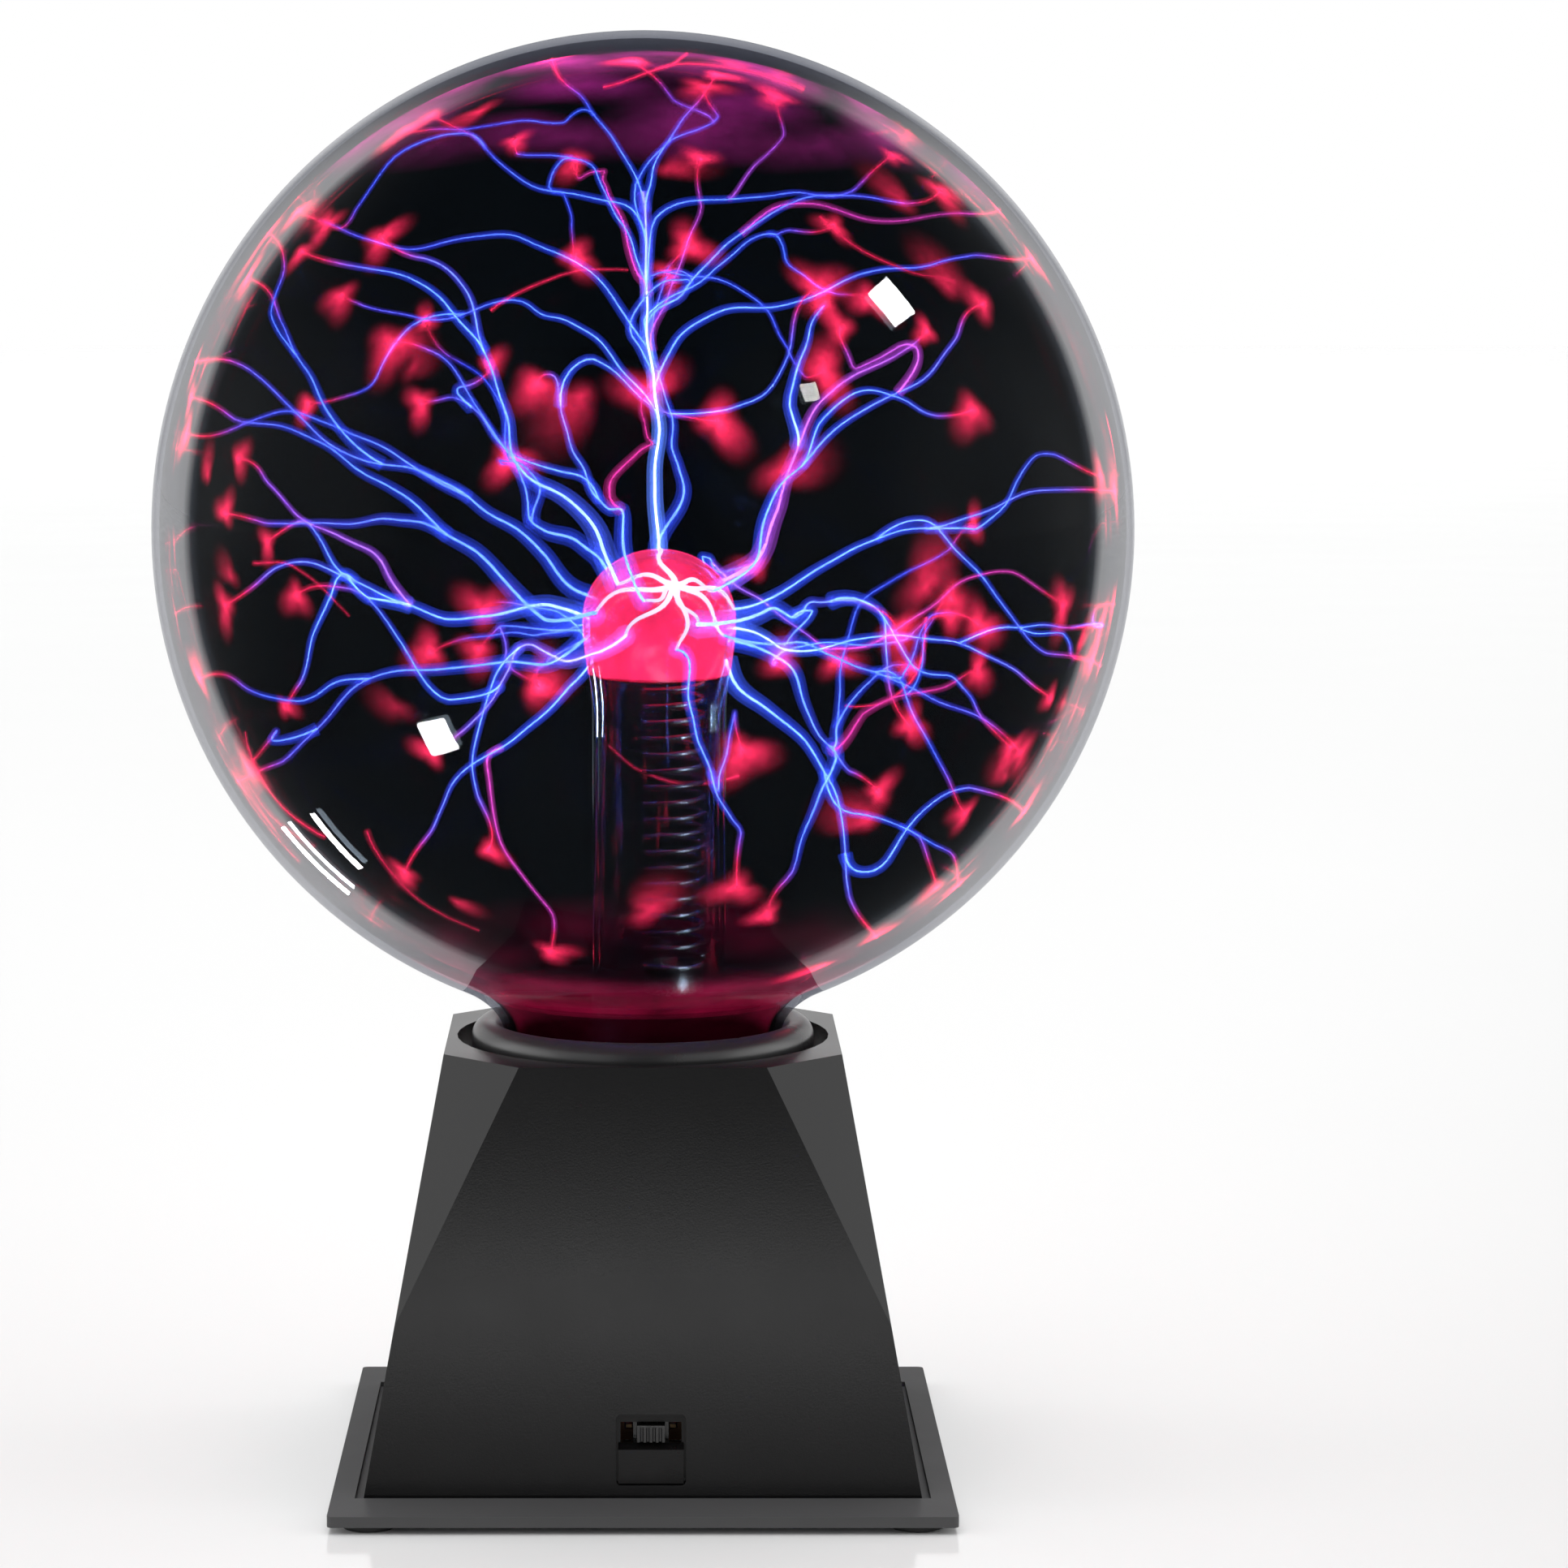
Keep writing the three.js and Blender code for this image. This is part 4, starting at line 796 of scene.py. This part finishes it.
def foot_look():
    """Mottled pink light on the globe's wall."""
    n = Nodes("foot_glow")
    power = n.attribute("power")
    mottle = n.range(n.noise(420, 3, 0.6), 0.3, 0.7, 0.7, 1.2)
    amount = n.math("MULTIPLY", n.math("MULTIPLY", power, mottle), FOOT_GLOW)
    return soft_light(n, (1.0, 0.022, 0.075, 1), amount)


def haze_look():
    """Faint light in the gas, red round the neck and violet under the crown."""
    n = Nodes("haze_glow")
    power = n.attribute("power")
    up = n.range(n.height(), globe_low.z, globe_high.z)
    colour = n.mix(up, (0.75, 0.012, 0.07, 1), (0.66, 0.03, 0.30, 1))
    mottle = n.range(n.noise(60, 4, 0.6), 0.3, 0.7, 0.3, 1.3)
    return soft_light(n, colour, n.math("MULTIPLY", n.math("MULTIPLY", power, mottle), HAZE_GLOW))


def neck_glow():
    """Red light in the gas inside the neck, following the glass and fading out up and down."""
    gap = GLOBE_WALL + WALL_GAP
    line = [(r - gap, z) for r, z in globe_outer_line() if NECK_START_Z - 2 * MM < z < globe_low.z + 34 * MM]
    thing = lathe("neck_glow", line + [(r - 0.4 * MM, z) for r, z in reversed(line)], 96)
    low, high = line[0][1], line[-1][1]
    shares = [(v.co.z - low) / (high - low) for v in thing.data.vertices]
    fades = [math.sin(math.pi * min(max(s, 0), 1)) ** 0.8 for s in shares]
    add_attribute(thing, "power", [NECK_GLOW_SHARE * fade for fade in fades])
    return thing


glowing(core.build("plasma_streamers"), streamer_look())
glowing(halo.build("plasma_halo"), halo_look())
glowing(patches.build("plasma_feet"), foot_look())
haze_material = haze_look()
glowing(hazes.build("plasma_haze"), haze_material)
glowing(neck_glow(), haze_material)


# ------------------------------------------------------------------ electrode

LINER_GAP = 0.3 * MM
LINER_WALL = 0.6 * MM
LINER_HEM = 0.2 * MM
SHEATH_GAP = 0.25 * MM
SHEATH_WALL = 0.1 * MM


def liner_outline():
    """A thin coat a gap inside the stem's glass, open at its foot."""
    outer = [(r, z) for r, z in stem_outer_line() if z >= LINER_FOOT_Z]
    shrink = STEM_WALL + LINER_GAP
    line = [(max(r - shrink, 0.0), z - shrink * min(max((z - BULB_Z) / DOME_RISE, 0), 1)) for r, z in outer]
    line = [(line[0][0] - LINER_HEM, LINER_FOOT_Z)] + line
    line = [p for p in line if p[0] > 0] + [(0.0, stem_high.z - shrink)]
    return with_inner_wall(line, LINER_WALL)


def electrode_look():
    """The conductive coat, lit pink-red by the discharge round it, hotter in cloudy patches."""
    n = Nodes("electrode_glow")
    cloud = n.noise(75, 4, 0.55, 0.6)
    reds = ((0.30, (0.95, 0.006, 0.035)), (0.55, (1.0, 0.012, 0.065)), (0.78, (1.0, 0.16, 0.24)))
    strength = n.range(cloud, 0.3, 0.75, *COAT_GLOW)
    light = n.add("Emission", {"Color": n.ramp(cloud, reds), "Strength": strength})
    return n.finish(light.outputs[0])


liner = lathe("electrode", liner_outline(), 64, STEM_X)
ride(dress(liner, electrode_look()), "electrode_coat", "electrode_liner")


def sheath_outline():
    """A thinner shell a gap outside the stem's glass, as far down as the coat."""
    line = [(r + SHEATH_GAP, z + SHEATH_GAP * min(max((z - BULB_Z) / DOME_RISE, 0), 1))
            for r, z in stem_outer_line() if z >= LINER_FOOT_Z and r > 0]
    return with_inner_wall(line + [(0.0, stem_high.z + SHEATH_GAP)], SHEATH_WALL)


def sheath_look():
    """Light in the gas against the dome, which carries its red out to the glass's edge."""
    n = Nodes("sheath_glow")
    return soft_light(n, (1.0, 0.03, 0.12, 1), n.range(n.noise(140, 3), 0.3, 0.7, *SHEATH_GLOW))


glowing(lathe("plasma_sheath", sheath_outline(), 64, STEM_X), sheath_look())


# Where the discharge gathers on the dome before it creeps out to each streamer's root.
NODE = direction(-76, 34)
VEIN_STEPS = 20

# A vein's radius at the gathering point and how much of it is lost, in millimetres. Only the roots
# on the gathering point's side have a vein.
VEIN_WIDE, VEIN_TAPER = 0.80, 0.50
VEIN_REACH = 0.1


def vein(root):
    """The way over the dome's surface from the gathering point to a streamer's root."""
    sideways = NODE.cross(root).normalized()
    phase = chance.uniform(0, math.tau)
    path = []
    for k in range(VEIN_STEPS + 1):
        t = k / VEIN_STEPS
        d = NODE.lerp(root, t) + sideways * 0.11 * math.sin(4.2 * t + phase) * math.sin(math.pi * t)
        path.append(on_dome(d.normalized(), SHEATH_GAP))
    return path


def crawler_look():
    """White-pink light that is strongest at the gathering point."""
    n = Nodes("crawler_core")
    strength = n.math("MULTIPLY", n.attribute("power"), CRAWLER_GLOW)
    light = n.add("Emission", {"Color": (1.0, 0.698, 0.826, 1), "Strength": strength})
    return n.finish(light.outputs[0])


crawl = TubeBuilder(7)
for root in roots + [Vector((0, 0, 1))]:
    if root.dot(NODE) < VEIN_REACH:
        continue
    path = vein(root)
    radii = [(VEIN_WIDE - VEIN_TAPER * (i / VEIN_STEPS) ** 0.5) * MM for i in range(len(path))]
    power = [1.3 - 0.5 * i / VEIN_STEPS for i in range(len(path))]
    crawl.add(path, radii, [0.1] * len(path), power)
glowing(crawl.build("plasma_crawlers"), crawler_look())


# ------------------------------------------------------------------ spring, ferrule and gasket

WIRE_R = 0.6 * MM
COIL_PITCH = 3.4 * MM
STEPS_PER_TURN = 40


def spring():
    """A close-wound coil of drawn wire."""
    coil_radius = (spring_high.x - spring_low.x) / 2 - WIRE_R
    bottom, top = spring_low.z + WIRE_R, spring_high.z - WIRE_R
    turns = round((top - bottom) / COIL_PITCH)
    steps = turns * STEPS_PER_TURN
    path = []
    for k in range(steps + 1):
        angle = math.tau * turns * k / steps
        path.append(Vector((
            SPRING_X + coil_radius * math.cos(angle), coil_radius * math.sin(angle),
            bottom + (top - bottom) * k / steps)))
    tube = TubeBuilder(12)
    unlit = [0] * len(path)
    tube.add(path, [WIRE_R] * len(path), unlit, unlit)
    return tube.build("spring")


spring_steel = metal("spring_steel_look", (0.42, 0.43, 0.45), 0.28)
plated_steel = metal("plated_steel_look", (0.62, 0.63, 0.65), 0.26)
coil = ride(dress(spring(), spring_steel), "spring_steel", "contact_spring")


def ferrule_outline():
    """A cup with a bevelled foot, a slightly narrower waist and a rounded rim."""
    low, high = ferrule_low.z, ferrule_high.z
    outer_r = (ferrule_high.x - ferrule_low.x) / 2
    waist_r = outer_r - 0.3 * MM
    bevel = 0.5 * MM
    wall = 0.9 * MM
    inner_floor = low + 1 * MM
    return [
        (0.0, low), (outer_r - bevel, low), (outer_r, low + bevel),
        (waist_r, low + 2.2 * MM), (waist_r, high - 1.4 * MM),
        (outer_r, high - 1.0 * MM), (outer_r - 0.1 * MM, high - 0.1 * MM),
        (outer_r - 0.8 * MM, high), (outer_r - wall, inner_floor), (0.0, inner_floor)]


ferrule = lathe("ferrule", ferrule_outline(), 64, middle("spring_ferrule").x)
ride(dress(ferrule, plated_steel), "plated_steel", "spring_ferrule")


def gasket():
    """A smooth round-topped rubber ring that the globe's neck sinks into."""
    outer_r = gasket_high.x
    inner_r = NECK_R + 0.4 * MM
    crown_radii = (outer_r - GASKET_CROWN_R, gasket_high.z - GASKET_CROWN_Z)
    crown_arc = arc((GASKET_CROWN_R, GASKET_CROWN_Z), crown_radii, 0, math.pi * 0.68, 20)
    heel_middle = (outer_r - GASKET_HEEL_R, gasket_low.z + GASKET_HEEL_R)
    heel = arc(heel_middle, (GASKET_HEEL_R, GASKET_HEEL_R), -math.pi / 2, 0, 6)
    outline = [(inner_r, gasket_low.z)] + heel + crown_arc + [(inner_r, GASKET_INNER_TOP_Z)]
    return lathe("gasket", outline, 160)


rubber_look = moulded_plastic("gasket_rubber_look", (0.018, 0.018, 0.0185), 0.30, variation=0.06)
ride(dress(gasket(), rubber_look), "gasket_rubber", "neck_gasket")


# ------------------------------------------------------------------ CAD pieces that stay

FLAT_DEGREES = 0.6


def eased(node, width, segments=3, angle=25):
    """Rounds a CAD piece's edges that turn by more than the angle: welds its corners, dissolves its
    flat faces and bevels the rest."""
    thing = nodes[node]
    weld = thing.modifiers.new("weld", "WELD")
    weld.merge_threshold = WELD_DISTANCE
    flat = thing.modifiers.new("flat", "DECIMATE")
    flat.decimate_type = "DISSOLVE"
    flat.angle_limit = math.radians(FLAT_DEGREES)
    bevel = thing.modifiers.new("bevel", "BEVEL")
    bevel.width = width
    bevel.segments = segments
    bevel.limit_method = "ANGLE"
    bevel.angle_limit = math.radians(angle)
    bevel.use_clamp_overlap = True
    normals = thing.modifiers.new("normals", "WEIGHTED_NORMAL")
    normals.weight = 100
    thing.data.polygons.foreach_set("use_smooth", [True] * len(thing.data.polygons))


looks = {
    "tower_plastic": moulded_plastic(
        "tower_plastic_look", (0.006, 0.006, 0.0062), 0.21, gloss=0.17, uneven=0.012),
    # Painted light: the plinth is the tower's black plastic given a paler colour, so its top reads as lit.
    "plinth_plastic": moulded_plastic(
        "plinth_plastic_lit_look", (0.074, 0.074, 0.075), 0.48, gloss=0.1, uneven=0.02),
    "black_plastic": moulded_plastic("black_plastic_look", (0.004, 0.004, 0.004), 0.22, gloss=0.4),
    "foot_rubber": moulded_plastic("foot_rubber_look", (0.012, 0.012, 0.012), 0.75),
    "gasket_rubber": rubber_look,
    "plated_steel": plated_steel,
    "spring_steel": spring_steel,
    "brass": metal("brass_look", (0.24, 0.17, 0.09), 0.45),
    "phenolic": moulded_plastic("phenolic_look", (0.20, 0.09, 0.035), 0.55, variation=0.25),
    "board": moulded_plastic("board_look", (0.01, 0.09, 0.035), 0.4, variation=0.2),
    "ferrite": moulded_plastic("ferrite_look", (0.03, 0.03, 0.034), 0.7, variation=0.3),
    "copper": metal("copper_look", (0.72, 0.30, 0.12), 0.32, 0.4),
    "aluminium": metal("aluminium_look", (0.75, 0.76, 0.77), 0.34),
    "capacitor_sleeve": moulded_plastic("sleeve_look", (0.01, 0.02, 0.10), 0.3),
    "capacitor_film": moulded_plastic("film_look", (0.48, 0.27, 0.03), 0.35),
    "bobbin_plastic": moulded_plastic("bobbin_look", (0.55, 0.53, 0.46), 0.45),
    "wire_red": moulded_plastic("wire_red_look", (0.38, 0.012, 0.012), 0.4),
    "wire_black": moulded_plastic("wire_black_look", (0.01, 0.01, 0.01), 0.4),
    "wire_white": moulded_plastic("wire_white_look", (0.58, 0.56, 0.50), 0.4),
    "electrode_coat": electrode_look(),
    "globe_glass": globe_material,
    "stem_glass": stem_material,
}
for entry in frame["record"]["subparts"]:
    dress(nodes[entry["node"]], looks[entry["material_slot"]])

eased("tower_shell", 1.1 * MM, 3, 9)
eased("plinth_plate", 0.45 * MM)
eased("switch_bezel", 0.25 * MM)
eased("switch_knob", 0.12 * MM)
for k in range(1, 5):
    eased(f"foot_{k}", 0.2 * MM)
    eased(f"base_screw_{k}", 0.1 * MM, 2)
for node in ("dc_jack_body", "dc_jack_pin"):
    eased(node, 0.12 * MM, 2)


# ------------------------------------------------------------------ stage, light and camera

FLOOR_HALF = 9.0


def floor():
    """A pale, slightly glossy studio floor."""
    n = Nodes("floor_look")
    soft = n.range(n.noise(3, 2), 0.3, 0.7, 0.09, 0.13)
    shader = n.add("BsdfPrincipled", {"Base Color": (0.93, 0.93, 0.93, 1), "Roughness": soft})
    corners = [(x * FLOOR_HALF, y * FLOOR_HALF, 0) for x, y in ((-1, -1), (1, -1), (1, 1), (-1, 1))]
    thing = mesh_object("floor", corners, [(0, 1, 2, 3)])
    dress(thing, n.finish(shader.outputs[0]))


class World:
    """The studio round the object: a bright sweep behind it, pale side walls, a dim front. Behind
    the object the camera sees plain white."""

    def __init__(self):
        world = bpy.data.worlds.new("studio")
        scene.world = world
        world.use_nodes = True
        self.tree = world.node_tree
        self.tree.nodes.clear()

    def node(self, kind, **settings):
        made = self.tree.nodes.new("ShaderNode" + kind)
        for key, value in settings.items():
            setattr(made, key, value)
        return made

    def level(self, source, low, high, to_low, to_high):
        made = self.node("MapRange", interpolation_type="SMOOTHSTEP")
        for name, value in (("From Min", low), ("From Max", high), ("To Min", to_low), ("To Max", to_high)):
            made.inputs[name].default_value = value
        self.tree.links.new(source, made.inputs["Value"])
        return made.outputs["Result"]

    def combine(self, operation, a, b=None):
        made = self.node("Math", operation=operation)
        self.tree.links.new(a, made.inputs[0])
        if b is not None:
            self.tree.links.new(b, made.inputs[1])
        return made.outputs[0]

    def build(self):
        link = self.tree.links.new
        split = self.node("SeparateXYZ")
        link(self.node("TexCoord").outputs["Generated"], split.inputs[0])
        side = self.level(self.combine("ABSOLUTE", split.outputs["X"]), 0.12, 0.50, 0.07, 1.0)
        overhead = self.level(split.outputs["Z"], 0.50, 0.85, 1.0, 0.25)
        flank = self.level(self.combine("ABSOLUTE", split.outputs["X"]), 0.78, 0.96, 0.0, 1.9)
        walls = self.combine("MULTIPLY", self.combine("ADD", side, flank), overhead)
        sweep = self.level(split.outputs["Y"], 0.90, 0.985, 0.0, 1.0)
        ray = self.node("LightPath")
        bright = self.combine("MAXIMUM", self.combine("MAXIMUM", walls, sweep), ray.outputs["Is Camera Ray"])
        background = self.node("Background")
        background.inputs["Color"].default_value = (1, 1, 1, 1)
        link(bright, background.inputs["Strength"])
        link(background.outputs[0], self.node("OutputWorld").inputs["Surface"])


def sun(strength, spread):
    """Broad soft light from overhead, for the floor and the tops of things."""
    data = bpy.data.lights.new("overhead", "SUN")
    data.energy = strength
    data.angle = math.radians(spread)
    lamp = bpy.data.objects.new("overhead", data)
    lamp.visible_glossy = False
    scene.collection.objects.link(lamp)


def lit_only(lamp, things):
    """Keeps a lamp's light to the given objects."""
    group = bpy.data.collections.new(lamp.name + "_lights")
    for thing in things:
        group.objects.link(thing)
    lamp.light_linking.receiver_collection = group


def softbox(name, place, target, size, power, turn=0.0, size_y=None, mirrored_only=False):
    """A square or oblong lamp. It lights things, or is only mirrored in them, but never both."""
    data = bpy.data.lights.new(name, "AREA")
    data.shape = "RECTANGLE"
    data.size = size
    data.size_y = size_y or size
    data.energy = power
    lamp = bpy.data.objects.new(name, data)
    aim = (Vector(target) - Vector(place)).to_track_quat("-Z", "Y")
    lamp.rotation_mode = "QUATERNION"
    lamp.rotation_quaternion = aim @ Matrix.Rotation(turn, 4, "Z").to_quaternion()
    lamp.location = place
    lamp.visible_camera = False
    lamp.visible_transmission = False
    lamp.visible_glossy = mirrored_only
    lamp.visible_diffuse = not mirrored_only
    scene.collection.objects.link(lamp)
    return lamp


CAMERA_PLACE = (0, -0.9936, 0.2603)
CAMERA_DIP_DEGREES = 6.707
CAMERA_LENS = 109.9
CAMERA_SHIFT = 0.090


def camera():
    """In front of the object, level with the upper part of the globe, looking slightly down."""
    data = bpy.data.cameras.new("camera")
    data.sensor_width = 36
    data.lens = CAMERA_LENS
    data.shift_x = CAMERA_SHIFT
    data.clip_start = 0.01
    data.clip_end = 100
    view = bpy.data.objects.new("camera", data)
    view.location = CAMERA_PLACE
    view.rotation_euler = (math.radians(90 - CAMERA_DIP_DEGREES), 0, 0)
    scene.collection.objects.link(view)
    scene.camera = view
    return view


CAMERA = camera()


GLINT_DISTANCE = 0.7
FLOOR_SHARE = 0.7


def glint(name, azimuth, elevation, size, radiance, turn=0.0, size_y=None):
    """A small softbox placed where the globe mirrors it to the camera from the given spot. It is
    moved in, and shrunk to match, where it would come near the floor."""
    normal = direction(azimuth, elevation)
    spot = GLOBE_CENTRE + normal * GLOBE_R
    sight = (spot - CAMERA.location).normalized()
    away = sight - 2 * sight.dot(normal) * normal
    distance = GLINT_DISTANCE
    if away.z < 0:
        distance = min(distance, FLOOR_SHARE * spot.z / -away.z)
    scale = distance / GLINT_DISTANCE
    wide, high = size * scale, (size_y or size) * scale
    power = radiance * wide * high * math.pi
    lit_only(softbox(name, spot + away * distance, spot, wide, power, turn, high, True), [globe])


def strip(name, offset, drop, width, height, power, things):
    """A lamp inside the globe that only the given things mirror. It stands at an offset from the
    dome and is aimed at the stem a drop below the dome, all in millimetres."""
    place = DOME + Vector(offset) * MM
    target = DOME - Vector((0, 0, drop * MM))
    lit_only(softbox(name, place, target, width * MM, power, 0, height * MM, True), things)


floor()
World().build()
sun(1.45, 60)
softbox("key", (-0.2, -0.9, 1.3), (0, 0, 0.05), 1.2, 5)
front_fill = softbox("front_fill", (0, -0.36, 0.016), (0, 0, 0.036), 0.5, 0.24, 0, 0.03, True)
lit_only(front_fill, [nodes[name] for name in ("tower_shell", "switch_knob")])
glint("glint_upper", -58, 28, 0.10, 850)
glint("glint_upper_small", -71, 18, 0.05, 260)
glint("glint_lower", -114, -19, 0.11, 900)
glint("strip_lower_1", -136, -34, 0.17, 400, 1.0, 0.035)
glint("strip_lower_2", -145, -38, 0.17, 260, 1.0, 0.03)
strip("stem_strip", (-62, 46, -28), 30, 4, 8, 0.07, [stem])
strip("coil_strip", (46, -58, -50), 50, 8, 90, 0.5, [coil, ferrule])
strip("stem_edge_left", (-26, 72, -45), 45, 20, 90, 0.015, [stem])
strip("stem_edge_right", (26, 72, -45), 45, 20, 90, 0.015, [stem])

scene.view_settings.view_transform = "Standard"
scene.cycles.use_denoising = True
scene.cycles.max_bounces = 10
scene.cycles.transparent_max_bounces = 64
scene.cycles.sample_clamp_indirect = 6
